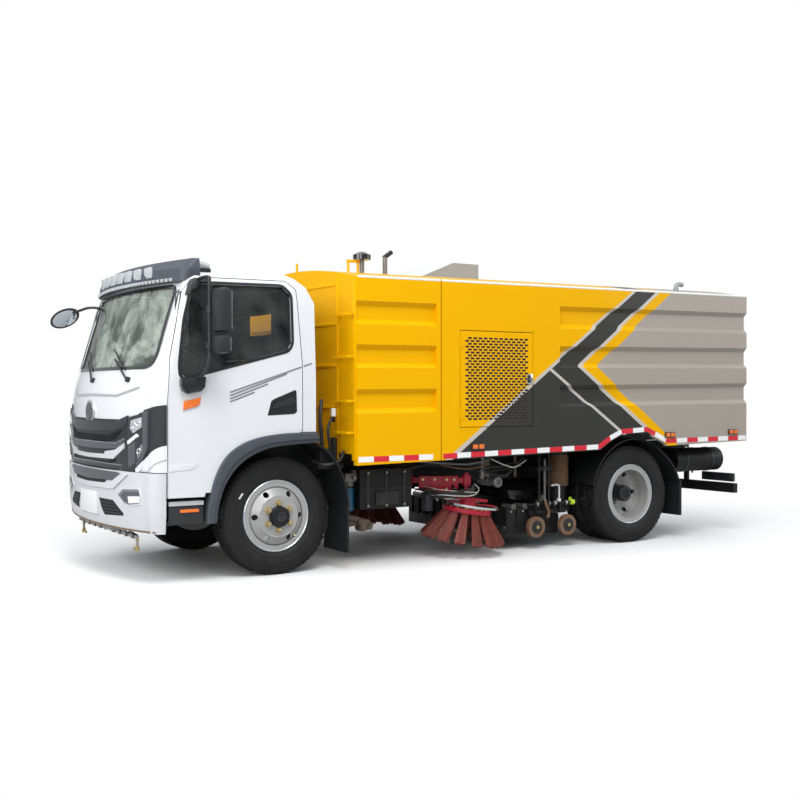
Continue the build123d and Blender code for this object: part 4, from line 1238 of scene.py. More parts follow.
@dataclass
class SideLamps:
    """Amber marker lamps along the body's lower edge."""

    spots: Outline = ((-1.871, 1.020), (-4.266, 1.077), (-5.190, 1.090))
    size: Point2 = (0.142, 0.056)

    def fit(self, fitter: Fitter) -> None:
        """Fits the lamps on both sides."""
        cases, lenses = Form(), Form()
        half, tall = self.size[0] / 2, self.size[1] / 2
        for station, z in self.spots:
            x = at(station)
            cases.box((x - half, BODY_SIDE, z - tall), (x + half, BODY_SIDE + 0.014, z + tall), 0.004)
            for shift in (-0.034, 0.034):
                lenses.box((x + shift - 0.026, BODY_SIDE + 0.008, z - tall + 0.009),
                           (x + shift + 0.026, BODY_SIDE + 0.022, z + tall - 0.009), 0.005)
        fitter.both_each("hopper", ("side_lamp_cases", cases, "lamp_case"),
                         ("side_lamp_lenses", lenses, "lamp_orange"))


@dataclass
class BodyTrim:
    """Rails, ribs, latches, lamps and seams of the body. Lines are (station, Z)."""

    rails: tuple[tuple[str, str, Outline], ...] = (
        ("tank", "chassis", ((-0.640, 2.475), (-1.466, 2.484))),
        ("hopper", "hopper", ((-1.490, 2.484), (-5.398, 2.522))))
    wall_ribs: tuple[float, ...] = (1.02, 1.38, 1.74, 2.10, 2.44)
    gate_x: float = at(-5.404)
    gate_ribs: tuple[float, ...] = (1.12, 1.55, 1.98, 2.38)
    gate_posts: tuple[float, ...] = (-1.13, 0.0, 1.13)
    header_edge: Point2 = (1.165, 2.447)
    header_step: float = 0.0971
    latch_y: float = 1.02
    tape_pieces: int = 14
    lamp_x: float = at(-5.410)
    tail_lamps: tuple[tuple[str, float], ...] = (("lamp_red", 0.97), ("lamp_orange", 0.84),
                                                 ("lamp_clear", 0.71))

    def fit(self, fitter: Fitter) -> None:
        """Fits the trim."""
        self._roof_rails(fitter)
        self._front_wall(fitter)
        self._tailgate(fitter)
        self._tail_lamps(fitter)
        self._roof(fitter)

    def _roof_rails(self, fitter: Fitter) -> None:
        """A pale drip rail along each roof edge."""
        for name, body, line in self.rails:
            rail = Form().tube([(x, BODY_SIDE - 0.010, z) for x, z in placed_at(line)], 0.013, 10, 1)
            fitter.fit_both(f"{name}_roof_rail", rail, "rail_white", body)

    def _front_wall(self, fitter: Fitter) -> None:
        """Posts and ribs on the tank's front wall."""
        x = at(-0.627)
        post = Form().box((x - 0.004, 1.150, 0.93), (x + 0.010, 1.205, 2.44), 0.004)
        post.box((x - 0.004, 0.860, 0.93), (x + 0.008, 0.900, 2.50), 0.004)
        fitter.fit_both("tank_front_post", post, "body_yellow", "chassis")
        ribs = Form()
        for z in self.wall_ribs:
            ribs.box((x - 0.004, -0.85, z - 0.015), (x + 0.008, 0.85, z + 0.015), 0.004)
        fitter.fit("tank_front_ribs", ribs, "body_yellow", "chassis")

    def _tailgate(self, fitter: Fitter) -> None:
        """Ribs, latches and tape of the tailgate, and the arched panel over it."""
        x = self.gate_x
        ribs = Form()
        for z in self.gate_ribs:
            ribs.box((x - 0.012, -1.12, z - 0.035), (x + 0.004, 1.12, z + 0.035), 0.006)
        for y in self.gate_posts:
            ribs.box((x - 0.014, y - 0.030, 1.03), (x + 0.004, y + 0.030, 2.41), 0.006)
        fitter.fit("tailgate_ribs", ribs, "body_grey", "tailgate")
        edge, foot = self.header_edge
        across = [edge - self.header_step * k for k in range(25)]
        arch = [(y, 2.49 + 0.135 * (1 - (y / 1.19) ** 2)) for y in across]
        header = Form().prism([(edge, foot), *arch, (-edge, foot)], Facing.REAR, -at(-5.374), -at(-5.386))
        fitter.fit("rear_header", header, "body_grey", "hopper")
        latches = Form()
        for y in (-self.latch_y, self.latch_y):
            latches.box((x - 0.016, y - 0.04, 1.02), (x, y + 0.04, 1.13), 0.006)
            latches.bar((x - 0.018, y, 1.075), (x - 0.004, y, 1.075), 0.02)
        fitter.fit("tailgate_latches", latches, "zinc_steel", "tailgate")
        tape = {"tape_red": Form(), "tape_white": Form()}
        for k in range(self.tape_pieces):
            low = -1.05 + 0.15 * k
            strip = tape["tape_red" if k % 2 else "tape_white"]
            strip.box((x - 0.0145, low, 1.105), (x - 0.010, low + 0.146, 1.150))
        for finish, form in tape.items():
            fitter.fit(f"tailgate_{finish}", form, finish, "tailgate")

    def _tail_lamps(self, fitter: Fitter) -> None:
        """A case with three lamps on each side of the underrun bar, and a blank plate between them."""
        back = self.lamp_x
        case = Form().box((back - 0.010, 0.62, 0.545), (back + 0.030, 1.06, 0.635), 0.008)
        fitter.fit_both("tail_trim_black", case, "trim_black", "chassis")
        for finish, y in self.tail_lamps:
            lamp = Form().box((back - 0.020, y - 0.055, 0.553), (back, y + 0.055, 0.628), 0.010)
            fitter.fit_both(f"tail_{finish}", lamp, finish, "chassis")
        plate = Form().box((back - 0.008, -0.23, 0.435), (back + 0.001, 0.23, 0.525), 0.003)
        fitter.fit("rear_plate", plate, "plate_white", "chassis")

    @staticmethod
    def _roof(fitter: Fitter) -> None:
        """A small vent and the hood's seams."""
        vent = Form().bar((at(-4.44), 1.14, 2.49), (at(-4.44), 1.14, 2.575), 0.026, 16, 0.003)
        vent.hose([(-4.44, 1.14, 2.56), (-4.45, 1.14, 2.60), (-4.48, 1.14, 2.612), (-4.53, 1.14, 2.608)],
                  0.024, 14, 5)
        fitter.fit("roof_vent", vent, "hood_grey", "hopper")
        seams = Form()
        for y in (-0.2, 0.2):
            seams.box((at(-2.47), y - 0.008, 2.758), (at(-2.19), y + 0.008, 2.766), 0.002)
        for y in (-0.398, 0.398):
            seams.box((at(-2.482), y - 0.006, 2.60), (at(-2.470), y + 0.006, 2.764), 0.002)
        fitter.fit("hood_seams", seams, "hood_grey", "hopper")


# ---------------------------------------------------------------- cab fittings


def bumper_back(shape: "Skin", wall: float = 0.012, start: float = 1.13, over: float = 0.12,
                shift: float = 0.018) -> Callable[[Vector], Vector]:
    """Draws the bumper's outer face back, so that its fittings keep within the truck's length.

    Args:
        shape: The bumper's outer shape, which tells the face from the wall's inner side.
        wall: How near that shape a moved point lies.
        start: The station from which points move.
        over: The length over which the shift grows to its full size.
        shift: How far the foremost points move.

    Returns:
        The move, from a point to its new place.
    """
    def moved(spot: Vector) -> Vector:
        """Returns a point's new place."""
        if shape.tree.find_nearest(spot)[3] > wall:
            return spot
        return spot - Vector((shift * min(max((spot.x - at(start)) / over, 0.0), 1.0), 0, 0))
    return moved


@dataclass
class CabFront:
    """Grille, lamps, bumper insert and the rest of the cab's face. Outlines are (Y, Z)."""

    skin: Skin
    bumper: Skin
    cell: float = 0.022
    row_share: float = 0.866
    edge: float = 0.002
    band: Outline = ((0.0, 1.272), (0.45, 1.278), (0.60, 1.284), (0.737, 1.322), (0.742, 1.262),
                     (0.704, 1.236), (0.54, 1.198), (0.0, 1.188))
    upper_bar: Outline = ((0.0, 1.110), (0.590, 1.102), (0.715, 1.138), (0.722, 1.106), (0.590, 1.058),
                          (0.40, 1.050), (0.0, 1.046))
    lower_bar: Outline = ((0.0, 1.002), (0.380, 1.008), (0.400, 1.030), (0.583, 1.049), (0.722, 1.104),
                          (0.716, 1.062), (0.545, 0.974), (0.0, 0.968))
    foot_bar: Outline = ((0.0, 0.936), (0.66, 0.930), (0.70, 0.915), (0.69, 0.900), (0.0, 0.905))
    insert: Outline = ((0.0, 0.877), (0.60, 0.871), (0.674, 0.856), (0.578, 0.823), (0.51, 0.800),
                       (0.0, 0.788))
    insert_gap: Outline = ((0.0, 0.792), (0.40, 0.802), (0.372, 0.774), (0.0, 0.767))
    insert_edge: Outline = ((0.0, 0.768), (0.372, 0.775), (0.510, 0.790), (0.665, 0.858), (0.770, 0.858),
                            (0.734, 0.835), (0.543, 0.735), (0.0, 0.728))
    mesh_bands: tuple[tuple[float, float, float, float], ...] = ((1.114, 1.188, 0.70, 0.20),
                                                                 (0.938, 0.968, 0.70, 0.22))
    mesh_bend: float = 0.42
    # Lines of the painted highlights along the upper and foot bars' top edges, with their lifts.
    bar_highlights: tuple[tuple[Outline, float], ...] = (
        (((-0.715, 1.138), (-0.590, 1.102), (0.590, 1.102), (0.715, 1.138)), 0.024),
        (((-0.66, 0.930), (0.0, 0.938), (0.66, 0.930)), 0.018))
    boss_z: float = 1.342
    lamps: tuple[tuple[str, str, float, Outline], ...] = (
        ("headlamp_housings", "grille_grey", 0.018,
         ((0.757, 1.310), (0.965, 1.345), (0.978, 1.085), (0.885, 0.952), (0.765, 0.905))),
        ("headlamp_frames", "insert_grey", 0.024,
         ((0.966, 1.350), (1.014, 1.363), (1.023, 1.068), (0.962, 0.985), (0.888, 0.936), (0.882, 0.950),
          (0.945, 1.002), (0.980, 1.088))),
        ("headlamp_lenses", "lamp_lens", 0.024,
         ((0.809, 1.286), (0.949, 1.313), (0.954, 1.237), (0.843, 1.185), (0.794, 1.225))),
        ("headlamp_strips", "lamp_clear", 0.028,
         ((0.771, 1.122), (0.896, 1.184), (0.917, 1.164), (0.784, 1.096))),
        ("headlamp_low_lenses", "grille_silver", 0.022,
         ((0.958, 1.103), (0.985, 1.060), (0.907, 0.983), (0.891, 1.040))),
        ("headlamp_cheeks", "insert_grey", 0.020,
         ((0.770, 1.080), (0.870, 1.125), (0.862, 0.960), (0.772, 0.915))))
    lamp_rings: tuple[Point3, ...] = ((0.858, 1.245, 0.024), (0.918, 1.262, 0.020), (0.930, 1.050, 0.020))
    bezel: Outline = ((0.604, 0.692), (0.692, 0.745), (0.935, 0.758), (0.952, 0.702), (0.945, 0.638),
                      (0.785, 0.618), (0.700, 0.630))
    fog_recess: Outline = ((0.650, 0.690), (0.712, 0.722), (0.930, 0.734), (0.938, 0.702), (0.772, 0.694),
                           (0.762, 0.640), (0.715, 0.648))
    fog_lens: Outline = ((0.774, 0.690), (0.936, 0.700), (0.934, 0.650), (0.786, 0.634))
    intake: Outline = ((0.262, 0.645), (0.520, 0.642), (0.695, 0.548), (0.680, 0.530), (0.352, 0.513),
                       (0.300, 0.580))
    bumper_foot: Outline = ((-1.09, 0.428), (-0.6, 0.424), (0.6, 0.424), (1.09, 0.428))
    screen: Outline = ((-0.965, 1.80), (-0.935, 1.728), (-0.855, 1.700), (0.855, 1.700), (0.935, 1.728),
                       (0.965, 1.80), (0.955, 2.295), (0.915, 2.345), (-0.915, 2.345), (-0.955, 2.295))
    ledge: Outline = ((-0.84, 1.545), (-0.53, 1.480), (0.0, 1.487), (0.53, 1.480), (0.84, 1.545))
    wiper_z: float = 1.605
    wipers: tuple[tuple[float, Point2], ...] = ((-0.073, (-0.420, 1.775)), (0.653, (0.330, 1.775)))

    def fit(self, fitter: Fitter) -> None:
        """Fits the whole face."""
        self._grille(fitter)
        self._headlamps(fitter)
        self._bumper(fitter)
        self._screen(fitter)
        self._visor(fitter)
        self._wipers(fitter)

    @staticmethod
    def _both(skin: Skin, outline: Sequence[Point2], lift: float, bevel: float = 0.0) -> Form:
        """Returns an outline and its mirror image, laid on a skin."""
        form = skin.patch(Form(), Facing.FRONT, outline, lift, bevel)
        return skin.patch(form, Facing.FRONT, mirrored_outline(outline), lift, bevel)

    def _bars(self, fitter: Fitter, skin: Skin, *bars: tuple[str, Sequence[Point2], str, float]) -> None:
        """Lays bars across the face, each given as its name, half its outline, its finish and its lift."""
        for name, half, finish, lift in bars:
            fitter.fit(name, skin.patch(Form(), Facing.FRONT, flipped_bar(half), lift, self.edge), finish,
                       "cab")

    def _cells(self, low: float, high: float, half: float, rise: float) -> list[Matrix]:
        """Places for honeycomb cells between two heights, which rise beyond a width."""
        places = []
        pitch = self.cell * self.row_share
        for row in range(int((high - low) / pitch)):
            for column in range(int(2 * half / self.cell)):
                y = -half + self.cell * (column + 0.5 * (row % 2))
                z = low + pitch * row + max(0.0, abs(y) - self.mesh_bend) * rise
                x = self.skin.height(Facing.FRONT, y, z) + 0.010
                places.append(placed((x, y, z), (1, 0, 0)))
        return places

    def _grille(self, fitter: Fitter) -> None:
        """The glossy band, honeycomb mesh and bright bars, with painted highlights along two bars' top edges.
        """
        self._bars(fitter, self.skin, ("grille_band", self.band, "grille_grey", 0.016),
                   ("grille_upper_bar", self.upper_bar, "insert_grey", 0.022),
                   ("grille_lower_bar", self.lower_bar, "bar_bright", 0.026),
                   ("grille_foot_bar", self.foot_bar, "grille_grey", 0.016))
        radius = self.cell * 0.5
        mesh = Form().spun([(-0.002, radius), (0.003, radius), (0.003, radius * 0.72),
                            (-0.002, radius * 0.72)],
                           ORIGIN, UP, 6, closed=True)
        places = [place for band in self.mesh_bands for place in self._cells(*band)]
        fitter.repeat("grille_mesh", mesh, places, "trim_black", "cab")
        # Silver strips along the bars' top edges: painted highlights.
        rims = Form()
        for line, lift in self.bar_highlights:
            self.skin.ribbon(rims, Facing.FRONT, line, 0.009, lift)
        fitter.fit("grille_bar_rim", rims, "grille_silver", "cab")
        x = self.skin.height(Facing.FRONT, 0.0, 1.34)
        for name, finish, wide, tall, lift in (("front_boss", "bright_silver", 0.112, 0.100, 0.014),
                                               ("front_boss_face", "insert_grey", 0.092, 0.082, 0.017)):
            oval = [(wide * math.sin(a), self.boss_z + tall * math.cos(a)) for a in turns(40)]
            fitter.fit(name, Form().prism(oval, Facing.FRONT, x - 0.03, x + lift, 0.004), finish, "cab")

    def _headlamps(self, fitter: Fitter) -> None:
        """A dark housing with reflectors, a light strip and a grey outer frame."""
        for name, finish, lift, outline in self.lamps:
            fitter.fit(name, self._both(self.skin, outline, lift, self.edge), finish, "cab")
        cups = Form()
        for side in Side:
            for y, z, radius in self.lamp_rings:
                x = self.skin.height(Facing.FRONT, side.value * y, z)
                cups.ring((x + 0.025, side.value * y, z), (1, side.value * 0.4, 0), radius, 0.0045, 24, 8)
        fitter.fit("headlamp_rings", cups, "chrome", "cab")

    def _bumper(self, fitter: Fitter) -> None:
        """Grey insert with a silver edge, fog lamps, air intakes drawn as dark patches of painted shade, and
        a blank plate.
        """
        # The insert's gap is a dark patch of painted shade.
        self._bars(fitter, self.bumper, ("bumper_insert", self.insert, "insert_grey", 0.007),
                   ("bumper_insert_gap", self.insert_gap, "gap_dark", 0.008),
                   ("bumper_insert_edge", self.insert_edge, "bar_bright", 0.013))
        bezels = self._both(self.bumper, self.bezel, 0.003)
        recesses = self._both(self.bumper, self.fog_recess, 0.005)
        lenses = self._both(self.bumper, self.fog_lens, 0.009, 0.003)
        holes = self._both(self.bumper, self.intake, 0.003)
        brows = Form()
        for side in Side:
            self.bumper.ribbon(brows, Facing.FRONT, [(side.value * y, z) for y, z in self.bezel], 0.010,
                               0.007, closed=True)
        fitter.fit_each("cab", ("fog_lamp_bezels", bezels, "grille_silver"),
                        ("fog_lamp_recesses", recesses, "insert_grey"),
                        ("fog_lamp_rims", brows, "bar_bright"), ("fog_lamp_lenses", lenses, "lamp_clear"),
                        ("bumper_intakes", holes, "gap_dark"))
        slats = Form()
        for side in Side:
            for k in range(4):
                z = 0.540 + 0.024 * k
                self.bumper.ribbon(slats, Facing.FRONT, [(side.value * (0.345 - 0.014 * k), z),
                                                         (side.value * (0.665 - 0.040 * k), z + 0.004)],
                                   0.007, 0.006)
        fitter.fit("bumper_slats", slats, "trim_black", "cab")
        x = self.bumper.height(Facing.FRONT, 0.0, 0.59)
        plate = Form().box((x - 0.02, -0.22, 0.505), (x + 0.004, 0.22, 0.690), 0.004)
        fitter.fit("front_plate", plate, "plate_white", "cab")
        lip = self.bumper.ribbon(Form(), Facing.FRONT, self.bumper_foot, 0.012, 0.004)
        fitter.fit("bumper_lip", lip, "hose_brown", "cab")

    def _screen(self, fitter: Fitter) -> None:
        """The windscreen's black rim, and below it a grey strip that is painted shade along the ledge."""
        rim = self.skin.ribbon(Form(), Facing.FRONT, rounded(self.screen, 0.05), 0.026, 0.003, closed=True)
        ledge = self.skin.ribbon(Form(), Facing.FRONT, self.ledge, 0.018, 0.005)
        fitter.fit_each("cab", ("windscreen_rim", rim, "gloss_black"), ("screen_ledge", ledge, "ledge_grey"))

    def _visor(self, fitter: Fitter) -> None:
        """Pale slatted panels on the sun visor and its light lower lip."""
        panels, lip = Form(), Form()
        top = self.visor_x
        for k in range(-3, 4):
            y = 0.185 * k
            panels.prism([(y - 0.078, 2.425), (y + 0.078, 2.425), (y + 0.070, 2.515), (y - 0.070, 2.515)],
                         Facing.FRONT, top(y) - 0.030, top(y) - 0.006, 0.006)
        fitter.fit("visor_panels", panels, "visor_pale", "cab")
        for k in range(-16, 16):
            y1, y2 = 0.058 * k, 0.058 * (k + 1)
            lip.prism([(y1, 2.378), (y2, 2.378), (y2, 2.404), (y1, 2.404)], Facing.FRONT, top(y1) - 0.03,
                      (top(y1) + top(y2)) / 2 + 0.004)
        fitter.fit("visor_lip", lip, "visor_pale", "cab")

    @staticmethod
    def visor_x(y: float) -> float:
        """Returns how far forward the visor reaches at a Y."""
        return at(1.006) - 0.145 * abs(y) ** 2

    def _wipers(self, fitter: Fitter) -> None:
        """Two wipers parked on the glass, in place of their plain pins."""
        arms, blades = Form(), Form()
        z = self.wiper_z
        for y, tip in self.wipers:
            x = self.skin.height(Facing.FRONT, y, z)
            arms.bar((x - 0.03, y, z - 0.006), (x + 0.028, y, z + 0.006), 0.022, 16, 0.004)
            end_x = self.skin.height(Facing.FRONT, *tip) + 0.020
            arms.bar((x + 0.020, y, z), (end_x, *tip), 0.008, 8)
            spots = []
            for t in (0.30, 0.75, 1.30):
                u, v = y + (tip[0] - y) * t, z + 0.030 + (tip[1] - z) * t
                spots.append((self.skin.height(Facing.FRONT, u, v) + 0.008, u, v))
            blades.tube(spots, 0.007, 6, 4)
        fitter.fit("wiper_arms", arms, "trim_black", "cab")
        piece = fitter.fit("wiper_blades", blades, "trim_black", "cab")
        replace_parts(piece, "wipers")


def rounded(path: Sequence[Point2], reach: float, steps: int = 4) -> list[Point2]:
    """Returns a closed path whose corners are eased over a distance on each side."""
    line = []
    for k, here in enumerate(path):
        before, after = Vector(path[k - 1]), Vector(path[(k + 1) % len(path)])
        corner = Vector(here)
        back, ahead = before - corner, after - corner
        start = corner + back.normalized() * min(reach, back.length * 0.48)
        end = corner + ahead.normalized() * min(reach, ahead.length * 0.48)
        for i in range(steps + 1):
            t = i / steps
            spot = start * (1 - t) ** 2 + corner * 2 * t * (1 - t) + end * t * t
            line.append((spot.x, spot.y))
    return line


def flipped_bar(half: Sequence[Point2]) -> list[Point2]:
    """Returns a whole bar from the half on the positive side, which starts and ends at 0 across."""
    return [*half, *[(-u, v) for u, v in reversed(half[1:-1])]]


@dataclass
class CabSide:
    """Window rims, handles, stripes, lamps and mirrors. Outlines are (station, Z)."""

    skin: Skin
    window: Outline = ((0.898, 1.632), (0.903, 1.716), (0.858, 2.068), (0.797, 2.305), (0.725, 2.366),
                       (0.000, 2.376), (-0.076, 2.306), (-0.079, 1.902), (-0.042, 1.840), (0.862, 1.610))
    recess: Outline = ((0.156, 1.318), (0.123, 1.433), (0.100, 1.450), (-0.092, 1.524), (-0.104, 1.515),
                       (-0.110, 1.345), (-0.084, 1.328))
    lever: Outline = ((0.110, 1.372), (0.095, 1.412), (-0.080, 1.470), (-0.088, 1.425), (-0.060, 1.405))
    lamp: Outline = ((0.868, 1.436), (0.730, 1.466), (0.740, 1.420), (0.760, 1.398), (0.874, 1.370))
    shoe: Outline = ((0.903, 1.612), (0.902, 1.553), (0.885, 1.515), (0.857, 1.494), (0.745, 1.512),
                     (0.712, 1.545), (0.702, 1.628))
    cap: Outline = ((0.842, 2.262), (0.806, 2.372), (0.765, 2.398), (0.650, 2.402), (0.646, 2.372),
                    (0.725, 2.366), (0.797, 2.300), (0.810, 2.262))
    pillar_slot: Outline = ((0.893, 2.140), (0.853, 2.290), (0.866, 2.290), (0.906, 2.140))
    crease: Outline = ((0.985, 0.945), (0.760, 0.957), (0.751, 0.940), (0.797, 0.905), (0.985, 0.893))
    flare_outer: Outline = ((0.684, 0.480), (0.676, 0.590), (0.653, 0.690), (0.623, 0.805), (0.570, 0.925),
                            (0.492, 1.022), (0.371, 1.099), (0.212, 1.147), (0.024, 1.170), (-0.130, 1.175),
                            (-0.286, 1.175))
    flare_inner: Outline = ((0.592, 0.480), (0.582, 0.570), (0.563, 0.655), (0.520, 0.770), (0.440, 0.885),
                            (0.340, 0.970), (0.215, 1.030), (0.090, 1.062), (-0.060, 1.076), (-0.200, 1.084),
                            (-0.322, 1.092))
    flare_section: Outline = ((0.0, 1.060), (0.0, 1.152), (0.05, 1.162), (0.12, 1.165), (0.60, 1.165),
                              (0.68, 1.156), (0.74, 1.147), (0.94, 1.142), (1.0, 1.132), (1.0, 1.060))
    door_edge: Outline = ((0.668, 0.686), (0.706, 0.686), (0.664, 0.912), (0.526, 1.098), (0.250, 1.206),
                          (-0.158, 1.206))
    door_gap: float = 0.006
    stripe: Point2 = (0.0145, 0.0008)
    stripes: tuple[Outline, ...] = (
        ((0.482, 1.504), (-0.155, 1.712)), ((0.482, 1.478), (-0.020, 1.655)),
        ((0.482, 1.453), (0.150, 1.572)), ((0.482, 1.429), (0.270, 1.505)))
    stripe_tail: Outline = ((-0.172, 1.717), (-0.250, 1.743))
    mirrors: tuple[Point3, ...] = ((1.965, 2.300, 0.188), (1.800, 1.945, 0.170))

    def fit(self, fitter: Fitter) -> None:
        """Fits both sides."""
        for side in Side:
            self._door(fitter, side)
            self._stripes(fitter, side)
            self._steps(fitter, side)
        self._mirrors(fitter)
        self._flares(fitter)

    def _laid(self, side: Side, outline: Sequence[Point2], lift: float, bevel: float = 0.0) -> Form:
        """Returns an outline laid on one side of the cab."""
        return self.skin.patch(Form(), Facing.of(side), placed_at(outline), lift, bevel)

    def _door(self, fitter: Fitter, side: Side) -> None:
        """The door's window rim, handle, lamp, pressed line and mirror shoe, and the pillar's slot."""
        tag, door = side.tag(), f"door_{side.tag()}"
        rim = self.skin.ribbon(Form(), Facing.of(side), rounded(placed_at(self.window), 0.034), 0.024, 0.003,
                               closed=True, sink=0.020)
        fitter.fit(f"window_rim_{tag}", rim, "gloss_black", door)
        for name, outline, lift, bevel, finish, body in (
            ("handle_recess", self.recess, 0.002, 0.0, "gloss_black", door),
            ("door_lever", self.lever, 0.010, 0.003, "trim_black", door),
            ("turn_lamp", self.lamp, 0.014, 0.003, "lamp_orange", door),
            ("mirror_shoe", self.shoe, 0.050, 0.012, "gloss_black", door),
            ("mirror_cap", self.cap, 0.026, 0.008, "trim_black", door),
            ("door_crease", self.crease, 0.004, 0.002, "cab_white", door),
            ("pillar_slot", self.pillar_slot, 0.002, 0.0, "gloss_black", "cab"),
        ):
            fitter.fit(f"{name}_{tag}", self._laid(side, outline, lift, bevel), finish, body)

    def _stripes(self, fitter: Fitter, side: Side) -> None:
        """Four thin lines that run up to the cab's rear corner."""
        lines, facing = Form(), Facing.of(side)
        for line in self.stripes:
            self.skin.ribbon(lines, facing, placed_at(line), *self.stripe)
        tail = self.skin.ribbon(Form(), facing, placed_at(self.stripe_tail), *self.stripe)
        fitter.fit(f"door_stripes_{side.tag()}", lines, "stripe_grey", f"door_{side.tag()}")
        fitter.fit(f"cab_stripe_{side.tag()}", tail, "stripe_grey", "cab")

    def _steps(self, fitter: Fitter, side: Side) -> None:
        """The step's tread plate, with a bright edge and a reflector."""
        sign = side.value
        for name, finish, slabs in (
            ("step_edge", "bright_silver", ((0.705, 0.990, 1.125, 1.138, 0.628, 0.662, 0.004),)),
            ("step_reflector", "lamp_orange", ((0.745, 0.900, 1.131, 1.142, 0.575, 0.600, 0.004),)),
            ("step_tread", "trim_black", ((0.705, 0.990, 1.000, 1.128, 0.642, 0.660, 0.004),
                                          (0.705, 0.990, 1.118, 1.134, 0.482, 0.620, 0.006))),
        ):
            form = Form()
            for rear, front, inner, outer, foot, top, bevel in slabs:
                low, high = sorted((sign * inner, sign * outer))
                form.box((at(rear), low, foot), (at(front), high, top), bevel)
            fitter.fit(f"{name}_{side.tag()}", form, finish, "cab")
        bumps = Form().box((-0.012, -0.003, -0.002), (0.012, 0.003, 0.002), 0.001)
        places = [placed((at(0.725 + 0.030 * i), sign * (1.012 + 0.022 * k), 0.661), (0, 0, 1),
                         math.radians(45 if (i + k) % 2 else -45)) for i in range(9) for k in range(5)]
        fitter.repeat(f"step_grip_{side.tag()}", bumps, places, "zinc_steel", "cab")

    def _mirrors(self, fitter: Fitter) -> None:
        """Two housings on a bent tube, in place of the plain blocks."""
        x, y = at(0.72), 1.29
        tube = Form().tube([(at(0.735), 1.085, 2.385), (at(0.725), 1.18, 2.395), (x, 1.265, 2.390),
                            (x, y, 2.355), (x, y, 2.10), (x, y + 0.002, 1.82), (x + 0.012, y - 0.008, 1.70),
                            (x + 0.040, y - 0.060, 1.628), (x + 0.050, 1.150, 1.612)], 0.014, 12, 6)
        clamps = Form()
        for z in (2.135, 1.862):
            clamps.bar((x, y, z - 0.030), (x, y, z + 0.030), 0.024, 14, 0.004)
            clamps.box((at(0.680), y - 0.012, z - 0.022), (at(0.705), y + 0.060, z + 0.022), 0.006)
        shells, glass = Form(), Form()
        for low, high, wide in self.mirrors:
            shells.box((at(0.606), y + 0.004, low), (at(0.714), y + wide, high), 0.034)
            glass.box((at(0.602), y + 0.026, low + 0.022), (at(0.608), y + wide - 0.022, high - 0.022), 0.002)
        fitter.both_each("door_", ("mirror_clamps", clamps, "trim_black"),
                         ("mirror_glass", glass, "mirror_glass"), ("mirror_shells", shells, "trim_black"),
                         ("mirror_tube", tube, "trim_black"))
        for side in Side:
            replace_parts(bpy.data.objects[f"mirror_tube_{side.tag()}"], f"mirror_{side.tag()}")

    def _flares(self, fitter: Fitter) -> None:
        """Two curved wheel arch flares with a turned-in lip, and the door's edge above each."""
        lines = (self.flare_outer, self.flare_inner)
        outer, inner = (eased([Vector(point) for point in line], 5) for line in lines)
        part = bmesh.new()
        rings = []
        for edge, lip in zip(outer, inner):
            spots = [(edge.lerp(lip, share), y) for share, y in self.flare_section]
            rings.append([part.verts.new((at(spot.x), y, spot.y)) for spot, y in spots])
        count = len(self.flare_section)
        for here, there in zip(rings, rings[1:]):
            for i in range(count):
                part.faces.new((here[i], here[(i + 1) % count], there[(i + 1) % count], there[i]))
        part.faces.new(rings[0])
        part.faces.new(rings[-1])
        flares = Form()
        flares.take(part)
        flares.take(flares.mirrored().bm)
        piece = fitter.fit("wheel_arch_flares", flares, "flare_grey", "cab", 24)
        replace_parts(piece, "cab_flares")
        edge = [(point.x, point.y) for point in outer if point.y > 0.695 and point.x > -0.16]
        low = offset_pair(edge, self.door_gap, False)[0]
        for side in Side:
            sill = self._laid(side, [*self.door_edge, *reversed(low)], 0.0006)
            fitter.fit(f"door_sill_{side.tag()}", sill, "cab_white", f"door_{side.tag()}")


@dataclass
class CabInside:
    """The two seats."""

    seat_y: float = 0.56

    def fit(self, fitter: Fitter) -> None:
        """Fits two seats in place of their plain blocks."""
        covers = []
        for side in Side:
            y = side.value * self.seat_y
            for part, low, high, round_edge in (
                ("base", (at(-0.055), y - 0.235, 1.155), (at(0.415), y + 0.235, 1.40), 0.03),
                ("cushion", (at(-0.050), y - 0.232, 1.395), (at(0.412), y + 0.232, 1.555), 0.055),
                ("back", (at(-0.115), y - 0.225, 1.52), (at(-0.008), y + 0.225, 1.865), 0.048),
                ("head", (at(-0.105), y - 0.125, 1.875), (at(-0.015), y + 0.125, 1.995), 0.038),
            ):
                finish = "trim_black" if part == "base" else "seat_fabric"
                form = Form().box(low, high, round_edge)
                piece = fitter.fit(f"seat_{part}_{side.tag()}", form, finish, "cab", 60)
                if part != "base":
                    self._crown(piece, low, high, part)
                covers.append(piece)
        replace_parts(covers[0], "seats")

    @staticmethod
    def _crown(piece: bpy.types.Object, low: Point3, high: Point3, part: str) -> None:
        """Hollows a cushion's middle slightly along its seam lines."""
        bm = bmesh.new()
        bm.from_mesh(piece.data)
        bmesh.ops.subdivide_edges(bm, edges=bm.edges[:], cuts=3, use_grid_fill=True)
        middle = [(a + b) / 2 for a, b in zip(low, high)]
        wide = (high[1] - low[1]) / 2
        for vert in bm.verts:
            across = (vert.co.y - middle[1]) / wide
            dip = 0.010 * max(0.0, 1 - (across * 1.6) ** 2)
            if part == "cushion" and vert.co.z > middle[2]:
                vert.co.z -= dip
            elif part != "cushion" and vert.co.x > middle[0]:
                vert.co.x -= dip
        bm.to_mesh(piece.data)
        bm.free()
        for polygon in piece.data.polygons:
            polygon.use_smooth = True


# ---------------------------------------------------------------- wheels


